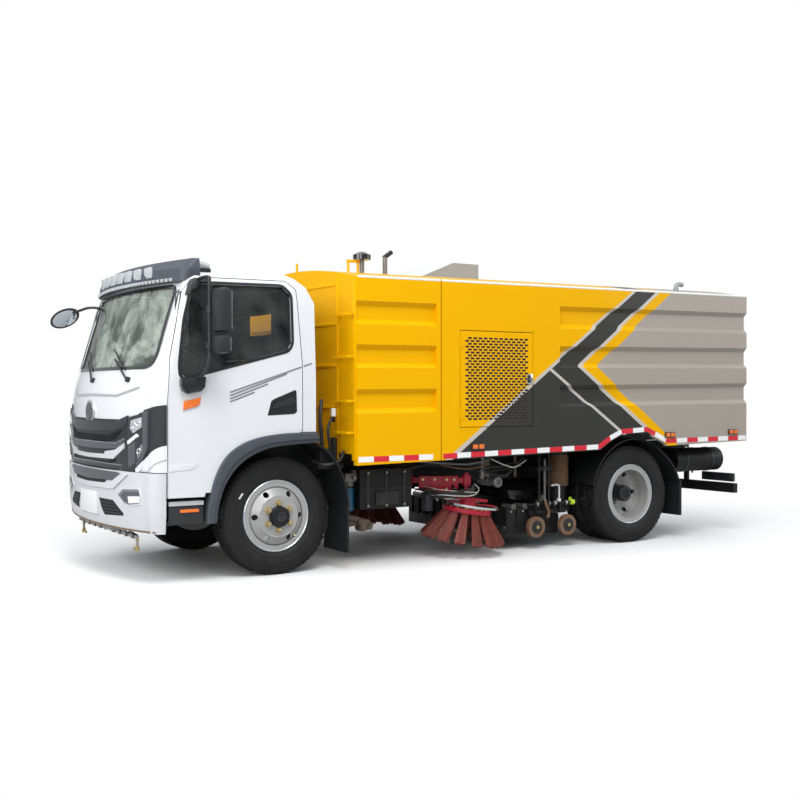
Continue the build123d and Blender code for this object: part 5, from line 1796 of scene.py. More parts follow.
@dataclass
class Tyre:
    """A road tyre: ringed sidewalls, a grooved tread and shoulder blocks."""

    node: str
    body: str
    centre: Point3
    blocks: int = 58
    skew: float = 0.16
    tread: float = 0.4775
    block_top: float = 0.4843
    groove_foot: float = 0.470
    block_fill: float = 0.86
    rows: tuple[Point3, ...] = ((0.0, 0.019, 0.0), (0.038, 0.031, 0.5), (-0.038, 0.031, 0.5),
                                (0.083, 0.033, 0.25), (-0.083, 0.033, 0.25))
    grooves: tuple[tuple[float, float, float, float], ...] = ((0.066, 0.064, 0.056, 0.054),
                                                              (0.022, 0.020, 0.012, 0.010))
    bead: Point2 = (0.075, 0.258)
    wall: Outline = ((0.084, 0.255), (0.088, 0.298), (0.094, 0.301), (0.096, 0.307), (0.103, 0.313),
                     (0.112, 0.334), (0.1135, 0.342), (0.1115, 0.346), (0.1170, 0.378), (0.1180, 0.386),
                     (0.1160, 0.391), (0.1165, 0.404), (0.1140, 0.410), (0.1130, 0.430), (0.1075, 0.444),
                     (0.1060, 0.460), (0.0990, 0.470), (0.0900, 0.4770))

    def fit(self, fitter: Fitter) -> None:
        """Fits the tyre in place of its plain ring."""
        grooves = []
        for top, foot, far_foot, far_top in self.grooves:
            grooves += [(top, self.tread), (foot, self.groove_foot), (far_foot, self.groove_foot),
                        (far_top, self.tread)]
        half = [*self.wall, *grooves]
        profile = [*[(-a, r) for a, r in half], *[(a, r) for a, r in reversed(half)]]
        across, radius = self.bead
        form = Form().spun([*profile, (across, radius), (-across, radius)], self.centre, (0, 1, 0), 116,
                           closed=True)
        piece = fitter.fit(f"{self.body}_tyre_{round(abs(self.centre[1]) * 1000)}", form, "tyre_black",
                           self.body, 30)
        if self.node:
            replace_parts(piece, self.node)
        self._blocks(fitter)

    def _blocks(self, fitter: Fitter) -> None:
        """Lays tread blocks in five rows round the tyre, the outer ones over the shoulder."""
        pitch = 2 * math.pi / self.blocks
        top = self.block_top - self.tread
        long = self.tread * pitch * self.block_fill
        for row, (across, wide, shift) in enumerate(self.rows):
            block = [(u * long / 2, v * wide / 2) for u, v in ((-1, -1), (1, -1), (1, 1), (-1, 1))]
            form = Form().prism(block, Facing.TOP, -0.004, top, 0.0015)
            places = []
            for k in range(self.blocks):
                angle = pitch * (k + shift)
                out = Vector((math.cos(angle), 0, math.sin(angle)))
                spot = Vector(self.centre) + out * self.tread + Vector((0, across, 0))
                turn = Matrix(((-out.z, 0, out.x, 0), (0, 1, 0, 0), (out.x, 0, out.z, 0), (0, 0, 0, 1)))
                skew = Matrix.Rotation(math.copysign(self.skew, across) if across else 0.0, 4, "Z")
                places.append(Matrix.Translation(spot) @ turn @ skew)
            name = f"{self.body}_tread_{round(abs(self.centre[1]) * 1000)}_{row}"
            fitter.repeat(name, form, places, "tyre_black", self.body)


@dataclass
class Wheels:
    """Tyres, nuts, hub caps and valves of all the road wheels."""

    front_y: float = 0.879
    rear_y: Point2 = (0.949, 0.679)
    nut_ring: float = 0.11113
    nuts: int = 6
    front_face: float = 1.019
    rear_face: float = 0.809
    rim_out: float = 0.094
    rim: Point2 = (0.290, 0.0075)

    def fit(self, fitter: Fitter) -> None:
        """Fits both axles on both sides."""
        for side in Side:
            sign, tag = side.value, side.tag()
            front, rear = f"front_wheel_{tag}", f"rear_wheels_{tag}"
            Tyre(f"front_tyre_{tag}", front, (AXLE_X, sign * self.front_y, AXLE_Z)).fit(fitter)
            Tyre(f"rear_tyres_{tag}", rear, (REAR_AXLE_X, sign * self.rear_y[0], AXLE_Z)).fit(fitter)
            Tyre("", rear, (REAR_AXLE_X, sign * self.rear_y[1], AXLE_Z)).fit(fitter)
            self._front_hub(fitter, sign, front)
            self._rear_hub(fitter, sign, rear)

    def _ring(self, radius: float, count: int, x: float, y: float, shift: float = 0.0) -> list[Point3]:
        """Returns points spread round a wheel's axis."""
        return [(x + radius * math.sin(a), y, AXLE_Z + radius * math.cos(a)) for a in turns(count, shift)]

    def _front_hub(self, fitter: Fitter, sign: int, body: str) -> None:
        """Brass nuts round a black hub, a rim lip, a valve and a balance mark."""
        x, face, axis = AXLE_X, sign * self.front_face, (0, sign, 0)
        nuts, studs, cap, inner, lip, valve, mark = (Form() for _ in range(7))
        for spot in self._ring(self.nut_ring, self.nuts, x, face):
            nuts.nut(spot, axis, 0.043, 0.030)
            nuts.spun([(0, 0.028), (0.004, 0.027), (0.006, 0.021)], spot, axis, 20)
            studs.bar((spot[0], face + sign * 0.026, spot[2]), (spot[0], face + sign * 0.040, spot[2]), 0.010,
                      12, 0.002)
        cap.spun([(0.0, 0.086), (0.010, 0.086), (0.014, 0.082), (0.040, 0.082), (0.0465, 0.076),
                  (0.0475, 0.062), (0.0475, 0.0)], (x, face, AXLE_Z), axis, 40)
        inner.spun([(0.045, 0.044), (0.0535, 0.042), (0.056, 0.036), (0.056, 0.0)], (x, face, AXLE_Z), axis,
                   32)
        for spot in self._ring(0.069, 8, x, face + sign * 0.044, 0.5):
            cap.nut(spot, axis, 0.013, 0.007)
        lip.ring((x, sign * (self.front_y + self.rim_out), AXLE_Z), axis, *self.rim, 72, 10)
        lip.spun([(0.0, 0.172), (0.003, 0.171), (0.003, 0.166), (0.0, 0.165)], (x, sign * 1.0185, AXLE_Z),
                 axis, 64, closed=True)
        valve.tube([(x - 0.17, sign * 0.945, AXLE_Z - 0.18), (x - 0.165, sign * 0.985, AXLE_Z - 0.175),
                    (x - 0.155, sign * 1.005, AXLE_Z - 0.165)], 0.006, 8, 4)
        mark.box((x + 0.320, sign * 0.9975 - 0.003, AXLE_Z + 0.152),
                 (x + 0.335, sign * 0.9975 + 0.003, AXLE_Z + 0.208), 0.002,
                 Matrix.Rotation(math.radians(-36), 3, "Y"))
        fitter.fit_each(body, (f"{body}_nuts", nuts, "brass"), (f"{body}_studs", studs, "zinc_steel"),
                        (f"{body}_cap", cap, "guard_black"), (f"{body}_cap_centre", inner, "gloss_black"),
                        (f"{body}_lip", lip, "bright_silver"), (f"{body}_valve", valve, "brass"),
                        (f"{body}_mark", mark, "plate_white"))

    def _rear_hub(self, fitter: Fitter, sign: int, body: str) -> None:
        """A deep black hub with nuts and a bright rim lip."""
        x, face, axis = REAR_AXLE_X, sign * self.rear_face, (0, sign, 0)
        nuts, cap, lip, valve = Form(), Form(), Form(), Form()
        for spot in self._ring(self.nut_ring, self.nuts, x, face):
            nuts.nut(spot, axis, 0.034, 0.024)
            nuts.bar((spot[0], face + sign * 0.02, spot[2]), (spot[0], face + sign * 0.04, spot[2]), 0.010,
                     12, 0.002)
        cap.spun([(0.0, 0.090), (0.016, 0.090), (0.020, 0.083), (0.120, 0.082), (0.1685, 0.070),
                  (0.1685, 0.050), (0.160, 0.046), (0.160, 0.0)], (x, face, AXLE_Z), axis, 40)
        for spot in self._ring(0.060, 8, x, face + sign * 0.1665, 0.5):
            cap.nut(spot, axis, 0.015, 0.009)
        lip.ring((x, sign * (self.rear_y[0] + self.rim_out), AXLE_Z), axis, *self.rim, 72, 10)
        lip.ring((x, sign * (self.rear_y[0] + 0.072), AXLE_Z), axis, 0.257, 0.0045, 72, 8)
        valve.tube([(x + 0.15, sign * 0.82, AXLE_Z + 0.17), (x + 0.16, sign * 0.90, AXLE_Z + 0.18),
                    (x + 0.165, sign * 0.96, AXLE_Z + 0.185)], 0.007, 8, 4)
        fitter.fit_each(body, (f"{body}_nuts", nuts, "zinc_steel"), (f"{body}_cap", cap, "gloss_black"),
                        (f"{body}_lip", lip, "bright_silver"), (f"{body}_valve", valve, "brass"))


# ---------------------------------------------------------------- sweeping gear


@dataclass
class SideBrushes:
    """Bristles, frames and drives of the two side brushes, modelled on the left."""

    centre: Point3 = (at(-1.995), 0.880, 0.405)
    axis: Point3 = (-0.132, 0.0835, 0.9877)
    pivot: Point2 = (at(-1.56), 0.560)
    tufts: int = 14
    bristles: int = 110
    lean: float = 34.0
    length: float = 0.332
    root: float = 0.185
    spread: Point2 = (0.020, 0.027)
    fan: Point2 = (1.5, 1.6)
    stray: float = 0.02
    lengths: Point2 = (0.93, 1.015)
    hoop: float = 0.255
    plates: tuple[float, ...] = (-0.052, 0.052)
    ribs: tuple[float, ...] = (0.13, 0.24, 0.35)

    def _plane(self) -> Matrix:
        """Returns the brush's own frame, its Z along the axis."""
        up = Vector(self.axis).normalized()
        first = Vector((1, 0, 0.1336)).normalized()
        second = up.cross(first)
        return Matrix.Translation(Vector(self.centre)) @ Matrix((first, second, up)).transposed().to_4x4()

    def fit(self, fitter: Fitter) -> None:
        """Fits both brushes."""
        self._bristles(fitter)
        self._disc(fitter)
        self._frame(fitter)
        self._hoses(fitter)

    def _bristles(self, fitter: Fitter) -> None:
        """Many thin bristles over each tuft's core."""
        plane = self._plane()
        chance = random.Random(7)
        for side in Side:
            bristle = Form().spun([(-0.010, 0.0026), (self.length, 0.0022)], ORIGIN, UP, 3)
            places = []
            for angle in turns(self.tufts):
                turn = plane @ Matrix.Rotation(angle, 4, "Z")
                lean = Matrix.Rotation(math.radians(180 - self.lean), 4, "Y")
                foot = turn @ Matrix.Translation((self.root, 0, 0.008)) @ lean
                for _ in range(self.bristles):
                    u, v = (chance.uniform(-reach, reach) for reach in self.spread)
                    tilt = Matrix.Rotation(u * self.fan[0] + chance.gauss(0, self.stray), 4, "Y")
                    tilt = tilt @ Matrix.Rotation(-v * self.fan[1] + chance.gauss(0, self.stray), 4, "X")
                    size = chance.uniform(*self.lengths)
                    place = foot @ Matrix.Translation((u, v, 0)) @ tilt @ Matrix.Scale(size, 4, (0, 0, 1))
                    if side is Side.RIGHT:
                        flip = Matrix.Scale(-1, 4, (0, 1, 0))
                        place = flip @ place @ flip
                    places.append(place)
            fitter.repeat(f"bristles_{side.tag()}", bristle, places, "tuft_red", f"side_brush_{side.tag()}")

    def _local(self, form: Form) -> Form:
        """Moves a form made about the origin onto the brush."""
        form.bm.transform(self._plane())
        return form

    def _disc(self, fitter: Fitter) -> None:
        """The disc's rolled rim, clamp plates, bolts and drive motor."""
        disc, bolts, motor = Form(), Form(), Form()
        disc.spun([(-0.004, 0.227), (0.014, 0.2285), (0.030, 0.227), (0.032, 0.222), (0.030, 0.217),
                   (0.0285, 0.216), (0.0285, 0.205), (-0.004, 0.205)], ORIGIN, UP, 72, closed=True)
        for turn in turns(self.tufts):
            spot = (0.182 * math.cos(turn), 0.182 * math.sin(turn))
            disc.box((spot[0] - 0.024, spot[1] - 0.028, 0.0275), (spot[0] + 0.024, spot[1] + 0.028, 0.0325),
                     0.002, Matrix.Rotation(turn, 3, "Z"))
            bolts.nut((*spot, 0.0325), UP, 0.017, 0.010)
        for turn in turns(6):
            bolts.nut((0.105 * math.cos(turn), 0.105 * math.sin(turn), 0.0285), UP, 0.017, 0.010)
        motor.spun([(0.129, 0.060), (0.134, 0.064), (0.150, 0.064), (0.153, 0.058), (0.190, 0.058),
                    (0.194, 0.052), (0.194, 0.0)], (0.11, 0, 0), UP, 32)
        fitter.fit_both("brush_disc_rim", self._local(disc), "brush_red", "side_brush_")
        fitter.fit_both("brush_disc_bolts", self._local(bolts), "brass", "side_brush_")
        fitter.fit_both("brush_motor", self._local(motor), "trim_black", "brush_head_")

    def _frame(self, fitter: Fitter) -> None:
        """Red side plates and gussets along the arm, with brass bolts, and the tilt motor in front."""
        frame, bolts, tilt = Form(), Form(), Form()
        start, end = Vector((*self.pivot, 0.0)), Vector((self.centre[0], self.centre[1], 0.0))
        way = (end - start).normalized()
        across = Vector((-way.y, way.x, 0))
        long = (end - start).length
        turn = Matrix((way, across, Vector((0, 0, 1)))).transposed()

        def block(t1: float, t2: float, a1: float, a2: float, z1: float, z2: float,
                  bevel: float = 0.003) -> None:
            """Adds a box between two places along the arm, two across it and two heights."""
            middle = start + way * (t1 + t2) / 2 + across * (a1 + a2) / 2 + Vector((0, 0, (z1 + z2) / 2))
            half = Vector((t2 - t1, a2 - a1, z2 - z1)) / 2
            frame.box(middle - half, middle + half, bevel, turn)

        for a in self.plates:
            block(0.10, long - 0.075, a - 0.005, a + 0.005, 0.610, 0.730)
            block(0.22, long - 0.085, a - 0.005, a + 0.005, 0.566, 0.612)
            for t in (0.14, 0.25, 0.36, long - 0.11):
                for z in (0.612, 0.700):
                    spot = start + way * t + across * (a + math.copysign(0.005, a)) + Vector((0, 0, z))
                    bolts.nut(spot, across * math.copysign(1, a), 0.024, 0.014)
        for t in self.ribs:
            block(t, t + 0.010, -0.050, 0.050, 0.590, 0.664)
        block(0.16, 0.34, -0.075, 0.075, 0.725, 0.733)
        block(0.18, 0.20, -0.075, -0.055, 0.60, 0.733)
        block(0.30, 0.32, -0.075, -0.055, 0.60, 0.733)
        x, y = at(-1.625), 0.790
        tilt.spun([(0, 0.040), (0.006, 0.052), (0.100, 0.052), (0.106, 0.046), (0.150, 0.046), (0.156, 0.030),
                   (0.190, 0.030)], (x, y, 0.420), UP, 28)
        tilt.box((x - 0.05, y - 0.16, 0.600), (x + 0.04, y + 0.03, 0.616), 0.004)
        tilt.tube([(x, y, 0.60), (x + 0.03, y + 0.06, 0.585), (x - 0.08, y + 0.11, 0.575),
                   (x - 0.18, y + 0.12, 0.600), (x - 0.24, y + 0.06, 0.650)], 0.011, 10, 6)
        fitter.both_each("brush_arm_", ("brush_frame", frame, "brush_red"),
                         ("brush_frame_bolts", bolts, "brass"), ("brush_tilt_motor", tilt, "trim_black"))

    def _hoses(self, fitter: Fitter) -> None:
        """Black hoses and pale cables looped round the arm."""
        hoses, wires = Form(), Form()
        x, y = self.pivot
        for k, lift in enumerate((0.0, 0.022, 0.044)):
            hoses.tube([(x - 0.075, y + 0.135, 0.575 + lift), (x - 0.08, y + 0.21, 0.560 + lift),
                        (x - 0.13, y + 0.335, 0.548 + lift), (x - 0.26, y + 0.40 + 0.01 * k, 0.552 + lift),
                        (x - 0.40, y + 0.425, 0.575 + lift), (x - 0.47, y + 0.395, 0.625 + lift)], 0.010, 10,
                       6)
        wires.tube([(x - 0.075, y + 0.125, 0.600), (x - 0.07, y + 0.235, 0.565), (x - 0.13, y + 0.375, 0.574),
                    (x - 0.25, y + 0.435, 0.562), (x - 0.41, y + 0.450, 0.560), (x - 0.53, y + 0.385, 0.600),
                    (x - 0.50, y + 0.36, 0.66)], 0.005, 8, 6)
        wires.tube([(x - 0.085, y + 0.135, 0.640), (x - 0.12, y + 0.335, 0.620), (x - 0.30, y + 0.425, 0.600),
                    (x - 0.48, y + 0.425, 0.585), (x - 0.56, y + 0.345, 0.625)], 0.004, 8, 6)
        fitter.both_each("brush_arm_", ("brush_hoses", hoses, "hose_black"),
                         ("brush_cables", wires, "bottle_white"))


@dataclass
class NozzleGear:
    """Casters, chain, crank and skirts of the suction nozzle, modelled on the left."""

    shaft: Point2 = (0.925, 0.430)
    casters: Point2 = (-2.76, -3.15)
    caster_y: float = 0.950
    caster_z: float = 0.215
    chain_y: float = 0.952
    chain_foot: float = 0.470
    links: int = 27
    link_pitch: float = 0.0148
    collars: tuple[float, ...] = (-2.80, -2.94, -3.02, -3.16)
    side_y: float = 0.862
    side_ribs: tuple[float, ...] = (-2.60, -2.75, -2.90, -3.03)
    side_bolts: tuple[float, ...] = (-2.53, -2.67, -2.83, -2.97, -3.08)
    side_ends: tuple[float, ...] = (-2.56, -2.70)

    def fit(self, fitter: Fitter) -> None:
        """Fits both ends of the nozzle."""
        self._casters(fitter)
        self._lift(fitter)
        self._box(fitter)

    def _casters(self, fitter: Fitter) -> None:
        """A dark hub, a brass axle end and a worn tread on each small wheel."""
        for name, station in zip(("front", "rear"), self.casters):
            spot, axis = Vector((at(station), self.caster_y, self.caster_z)), (0, 1, 0)
            hub, axle, tread = Form(), Form(), Form()
            for sign in (1, -1):
                face = spot + Vector((0, sign * 0.0215, 0))
                hub.spun([(0, 0.066), (0.0025, 0.065), (0.0028, 0.058), (0.0022, 0.030), (0.010, 0.028),
                          (0.012, 0.024)],
                         face, (0, sign, 0), 36)
                for turn in turns(6):
                    hub.nut(face + Vector((0.046 * math.cos(turn), sign * 0.0022, 0.046 * math.sin(turn))),
                            (0, sign, 0), 0.010, 0.005)
                axle.nut(face + Vector((0, sign * 0.010, 0)), (0, sign, 0), 0.030, 0.010)
                tread.ring(spot + Vector((0, sign * 0.0165, 0)), axis, 0.0935, 0.0062, 56, 8)
            body = f"caster_{name}_"
            fitter.both_each(body, (f"{body}hub", hub, "trim_black"), (f"{body}axle", axle, "brass"),
                             (f"{body}tread", tread, "caster_brown"))

    def _lift(self, fitter: Fitter) -> None:
        """The lifting chain, its hook, a crank and the shaft's bright cap."""
        y, z = self.shaft
        stretch = Matrix.Scale(1.35, 4, UP)
        for side in Side:
            places = []
            for k in range(self.links):
                spot = (at(-2.870), side.value * self.chain_y, self.chain_foot + self.link_pitch * k)
                turn = Matrix.Rotation(math.pi / 2 * (k % 2), 4, "Z")
                places.append(Matrix.Translation(spot) @ turn @ stretch)
            link = Form().ring(ORIGIN, (1, 0, 0), 0.0085, 0.0028, 12, 6)
            fitter.repeat(f"lift_chain_{side.tag()}", link, places, "zinc_steel", "nozzle")
        hook, crank, cap, rods = Form(), Form(), Form(), Form()
        hook.hose([(-2.870, 0.955, 0.475), (-2.880, 0.965, 0.420), (-2.895, 0.975, 0.375),
                   (-2.905, 0.972, 0.330), (-2.890, 0.970, 0.300)], 0.015, 12, 5)
        crank.hose([(-3.060, y + 0.015, z + 0.030), (-3.062, y + 0.015, z + 0.110),
                    (-3.058, y + 0.015, z + 0.165), (-3.025, y + 0.015, z + 0.178),
                    (-2.965, y + 0.015, z + 0.172)], 0.009, 12, 6)
        crank.bar((at(-3.060), y + 0.015, z + 0.015), (at(-3.060), y + 0.015, z + 0.045), 0.020, 16, 0.003)
        cap.spun([(-0.010, 0.024), (0.030, 0.027), (0.036, 0.020)], (at(-3.225), y, z), (-1, 0, 0), 20)
        cap.ring((at(-3.215), y, z + 0.03), (0, 1, 0), 0.014, 0.006, 18, 8)
        for station in self.collars:
            rods.bar((at(station) - 0.012, y, z), (at(station) + 0.012, y, z), 0.024, 18, 0.004)
        fitter.both_each("nozzle", ("nozzle_hook", hook, "hose_brown"),
                         ("nozzle_crank", crank, "plate_white"), ("nozzle_cap", cap, "cap_green"),
                         ("nozzle_collars", rods, "zinc_steel"))

    def _box(self, fitter: Fitter) -> None:
        """Ribs, a rubber skirt, bolts and fittings on the nozzle's box."""
        ribs, skirt, bolts, ends = Form(), Form(), Form(), Form()
        front = at(-2.48)
        for k in range(-6, 7):
            y = 0.13 * k
            ribs.box((front - 0.02, y - 0.004, 0.20), (front + 0.012, y + 0.004, 0.385), 0.002)
            bolts.nut((front + 0.006, y + 0.06, 0.215), (1, 0, 0), 0.018, 0.008)
        skirt.box((front, -0.85, 0.115), (front + 0.008, 0.85, 0.225), 0.002)
        skirt.box((at(-3.12) - 0.008, -0.85, 0.115), (at(-3.12), 0.85, 0.225), 0.002)
        for side in Side:
            y = side.value * self.side_y
            low, high = sorted((y, y + side.value * 0.008))
            for station in self.side_ribs:
                ribs.box((at(station) - 0.004, low, 0.20), (at(station) + 0.004, high + 0.001, 0.39), 0.002)
            for station in self.side_bolts:
                bolts.nut((at(station), y, 0.365), (0, side.value, 0), 0.020, 0.010)
            for station in self.side_ends:
                ends.bar((at(station), side.value * 0.70, 0.41), (at(station), side.value * 0.86, 0.41),
                         0.024, 18, 0.004)
                ends.ring((at(station), side.value * 0.865, 0.41), (0, 1, 0), 0.022, 0.006, 24, 8)
        fitter.fit_each("nozzle", ("nozzle_ribs", ribs, "frame_black"), ("nozzle_skirt", skirt, "hose_black"),
                        ("nozzle_bolts", bolts, "zinc_steel"), ("nozzle_fittings", ends, "pipe_grey"))


# ---------------------------------------------------------------- underbody


@dataclass
class UnderBody:
    """Pipes, filters, cast parts and guards below the body.

    Points are (station, Y, Z), and the arch screen's are (degrees, radius) round the front axle.
    """

    screen_y: Point2 = (0.694, 0.700)
    screen: Outline = ((84, 0.606), (92, 0.606), (100, 0.606), (108, 0.606), (126.7, 0.719), (140, 0.660),
                       (152, 0.606), (152, 0.556), (140, 0.550), (129, 0.535), (118, 0.515), (106, 0.515),
                       (95, 0.515), (84, 0.515))
    can_spot: Point2 = (-0.840, 0.700)
    can: Outline = ((0.452, 0.038), (0.456, 0.046), (0.470, 0.0505), (0.655, 0.0505), (0.668, 0.046),
                    (0.674, 0.036))
    can_head: Outline = ((0.672, 0.040), (0.676, 0.052), (0.716, 0.052), (0.724, 0.044))
    castings: tuple[tuple[Point3, Point3], ...] = (
        ((-0.90, 0.62, 0.335), (0.10, 0.05, 0.028)), ((-1.02, 0.64, 0.315), (0.055, 0.06, 0.05)),
        ((-0.78, 0.60, 0.36), (0.05, 0.045, 0.05)))
    cast_pipe: Route = ((-0.74, 0.60, 0.40), (-0.84, 0.66, 0.40), (-0.98, 0.68, 0.36), (-1.10, 0.66, 0.31))
    cast_bosses: Outline = ((-0.96, 0.352), (-1.06, 0.30), (-0.80, 0.34))
    straps: tuple[float, ...] = (-0.98, -1.17, -1.36)
    far_straps: tuple[float, ...] = (-0.82, -1.18)
    coupler: Point2 = (-2.30, 0.665)
    runs: tuple[tuple[str, float, int, Route], ...] = (
        ("under_hoses", 0.016, 10, ((-1.46, 0.66, 0.80), (-1.75, 0.72, 0.845), (-2.05, 0.80, 0.83),
                                    (-2.35, 0.86, 0.80), (-2.62, 0.84, 0.84))),
        ("under_hoses", 0.013, 10, ((-1.46, 0.60, 0.86), (-1.95, 0.70, 0.80), (-2.3, 0.78, 0.76),
                                    (-2.7, 0.80, 0.80))),
        ("under_hoses", 0.014, 10, ((-2.10, 0.88, 0.86), (-2.20, 0.92, 0.76), (-2.40, 0.93, 0.72),
                                    (-2.55, 0.88, 0.80), (-2.68, 0.86, 0.88))),
        ("under_pipes", 0.012, 10, ((-1.50, 0.72, 0.88), (-1.72, 0.84, 0.86), (-1.96, 0.93, 0.845),
                                    (-2.20, 0.90, 0.87))),
        ("under_lines", 0.009, 8, ((-1.62, 0.80, 0.89), (-1.85, 0.86, 0.815), (-2.05, 0.90, 0.80),
                                   (-2.22, 0.93, 0.84))),
        ("under_cables", 0.006, 8, ((-2.24, 0.93, 0.885), (-2.36, 0.96, 0.83), (-2.50, 0.96, 0.80),
                                    (-2.66, 0.93, 0.86))))
    suction_foot: Point3 = (-3.150, 0.800, 0.590)
    suction_ribs: int = 14
    tank_straps: Point2 = (-4.80, -5.18)
    tank_axis: Point2 = (0.85, 0.79)
    rear_hoses: tuple[tuple[float, Route], ...] = (
        (0.016, ((-0.42, 0.99, 1.00), (-0.40, 1.02, 1.12), (-0.38, 1.03, 1.30), (-0.42, 0.98, 1.44))),
        (0.013, ((-0.50, 1.00, 0.98), (-0.46, 1.05, 1.08), (-0.44, 1.06, 1.20), (-0.50, 1.03, 1.30),
                 (-0.54, 0.98, 1.26))),
        (0.014, ((-0.36, 0.95, 0.93), (-0.40, 1.08, 0.90), (-0.52, 1.10, 0.93), (-0.60, 1.04, 1.00))))
    spray: float = 1.092
    mirror_long: Point3 = (-0.763, 0.482, 0.430)
    mirror_look: Point3 = (0.50, 0.62, -0.60)
    mirror_spot: Point3 = (1.105, -1.262, 2.200)
    mirror_half: Point2 = (0.142, 0.088)
    horn_spot: Point3 = (0.655, 0.985, 2.500)

    def fit(self, fitter: Fitter) -> None:
        """Fits everything below the body."""
        self._arch_screen(fitter)
        self._filter(fitter)
        self._boxes(fitter)
        self._pipes(fitter)
        self._suction(fitter)
        self._air_tank(fitter)
        self._behind_cab(fitter)
        self._spray(fitter)
        self._mirror(fitter)
        self._visor_ends(fitter)

    def _arch_screen(self, fitter: Fitter) -> None:
        """An upright black screen inside each front wheel arch, above the tyre."""
        ring = [(math.radians(turn), radius) for turn, radius in self.screen]
        outline = [(AXLE_X + radius * math.cos(turn), AXLE_Z + radius * math.sin(turn))
                   for turn, radius in ring]
        screen = Form().prism(outline, Facing.LEFT, *self.screen_y)
        fitter.fit_both("arch_screen", screen, "guard_black", "chassis")

    def _filter(self, fitter: Fitter) -> None:
        """The blue canister, its bracket and the cast parts under it."""
        cast = Form()
        x, y = at(self.can_spot[0]), self.can_spot[1]
        can = Form().spun(self.can, (x, y, 0), UP, 32)
        head = Form().spun(self.can_head, (x, y, 0), UP, 28)
        head.box((x - 0.055, y - 0.05, 0.716), (x + 0.065, y + 0.06, 0.790), 0.010)
        head.box((x - 0.10, y - 0.02, 0.745), (x - 0.03, y + 0.03, 0.815), 0.008)
        head.bar((x - 0.02, y + 0.05, 0.752), (x - 0.02, y + 0.085, 0.752), 0.020, 14, 0.003)
        for (station, *rest), half in self.castings:
            spot = (at(station), *rest)
            low = tuple(a - b for a, b in zip(spot, half))
            high = tuple(a + b for a, b in zip(spot, half))
            cast.box(low, high, 0.022, Matrix.Rotation(0.15, 3, "Y"))
        cast.hose(self.cast_pipe, 0.026, 12, 5)
        cast.bar((at(-0.86), 0.60, 0.36), (at(-0.86), 0.60, 0.60), 0.022, 14)
        for station, z in self.cast_bosses:
            cast.bar((at(station), 0.66, z), (at(station), 0.72, z), 0.026, 14, 0.006)
        fitter.fit_each("chassis", ("filter_can", can, "cylinder_blue"), ("filter_head", head, "pipe_grey"),
                        ("cast_parts", cast, "cast_brown"))

    def _boxes(self, fitter: Fitter) -> None:
        """Lids, straps and ribs on the side boxes."""
        trim, bolts = Form(), Form()
        for station in self.straps:
            trim.box((at(station) - 0.016, 0.795, 0.475), (at(station) + 0.016, 0.806, 0.815), 0.003)
            for z in (0.500, 0.790):
                bolts.nut((at(station), 0.806, z), (0, 1, 0), 0.020, 0.010)
        trim.box((at(-1.435), 0.796, 0.640), (at(-0.905), 0.804, 0.652), 0.002)
        trim.box((at(-1.30), 0.796, 0.50), (at(-1.06), 0.812, 0.62), 0.006)
        for station in self.far_straps:
            trim.box((at(station) - 0.018, -1.058, 0.425), (at(station) + 0.018, -1.046, 0.818), 0.003)
        fitter.fit_each("chassis", ("side_box_trim", trim, "trim_black"),
                        ("side_box_bolts", bolts, "zinc_steel"))

    def _pipes(self, fitter: Fitter) -> None:
        """Hoses and pipes strung along below the body on both sides."""
        forms = {name: Form() for name, *_ in self.runs}
        for name, radius, sides, path in self.runs:
            forms[name].hose(path, radius, sides, 8)
        pipe, line, coupler = forms["under_pipes"], forms["under_lines"], Form()
        x, z = at(self.coupler[0]), self.coupler[1]
        pipe.bar((x, 0.66, z), (x, 0.945, z), 0.036, 24, 0.004)
        pipe.bar((at(-2.16), 0.90, 0.70), (at(-2.16), 0.90, 0.91), 0.019, 16)
        line.bar((at(-2.58), 0.86, 0.70), (at(-2.58), 0.86, 0.90), 0.013, 12)
        coupler.spun([(0, 0.040), (0.006, 0.050), (0.034, 0.050), (0.040, 0.044), (0.040, 0.028),
                      (0.022, 0.026), (0.022, 0)], (x, 0.930, z), (0, 1, 0), 28)
        for k in range(3):
            coupler.bar((x, 0.72 + 0.05 * k, z), (x, 0.74 + 0.05 * k, z), 0.043, 24, 0.004)
        coupler.box((at(-2.34), 0.70, 0.70), (at(-2.26), 0.78, 0.88), 0.006)
        fitter.both_each("chassis", ("under_hoses", forms["under_hoses"], "hose_black"),
                         ("under_pipes", pipe, "pipe_grey"), ("under_lines", line, "hose_brown"),
                         ("under_cables", forms["under_cables"], "bottle_white"),
                         ("under_couplers", coupler, "pipe_grey"))

    def _suction(self, fitter: Fitter) -> None:
        """The brown ribbed suction hose over the pipe."""
        station, y, z = self.suction_foot
        profile = [(0.0, 0.1075)]
        for k in range(self.suction_ribs):
            low = 0.004 + 0.0205 * k
            profile += [(low, 0.1075), (low + 0.005, 0.1155), (low + 0.011, 0.1155), (low + 0.016, 0.1075)]
        profile += [(0.300, 0.1075), (0.300, 0.1062), (0.0, 0.1062)]
        hose = Form().spun(profile, (at(station), y, z), UP, 48, closed=True)
        fitter.fit("suction_hose", hose, "hose_brown", "chassis")

    def _air_tank(self, fitter: Fitter) -> None:
        """Straps, brackets and a drain on the air tank."""
        bands = Form()
        y, z = self.tank_axis
        for station in self.tank_straps:
            bands.spun([(-0.018, 0.1245), (-0.018, 0.129), (0.018, 0.129), (0.018, 0.1245)],
                       (at(station), y, z), (1, 0, 0), 48, closed=True)
            bands.box((at(station) - 0.02, 0.60, 0.87), (at(station) + 0.02, 0.86, 0.905), 0.004)
        bands.bar((at(-4.99), y, 0.645), (at(-4.99), y, 0.672), 0.010, 12)
        fitter.fit("air_tank_straps", bands, "trim_black", "chassis")

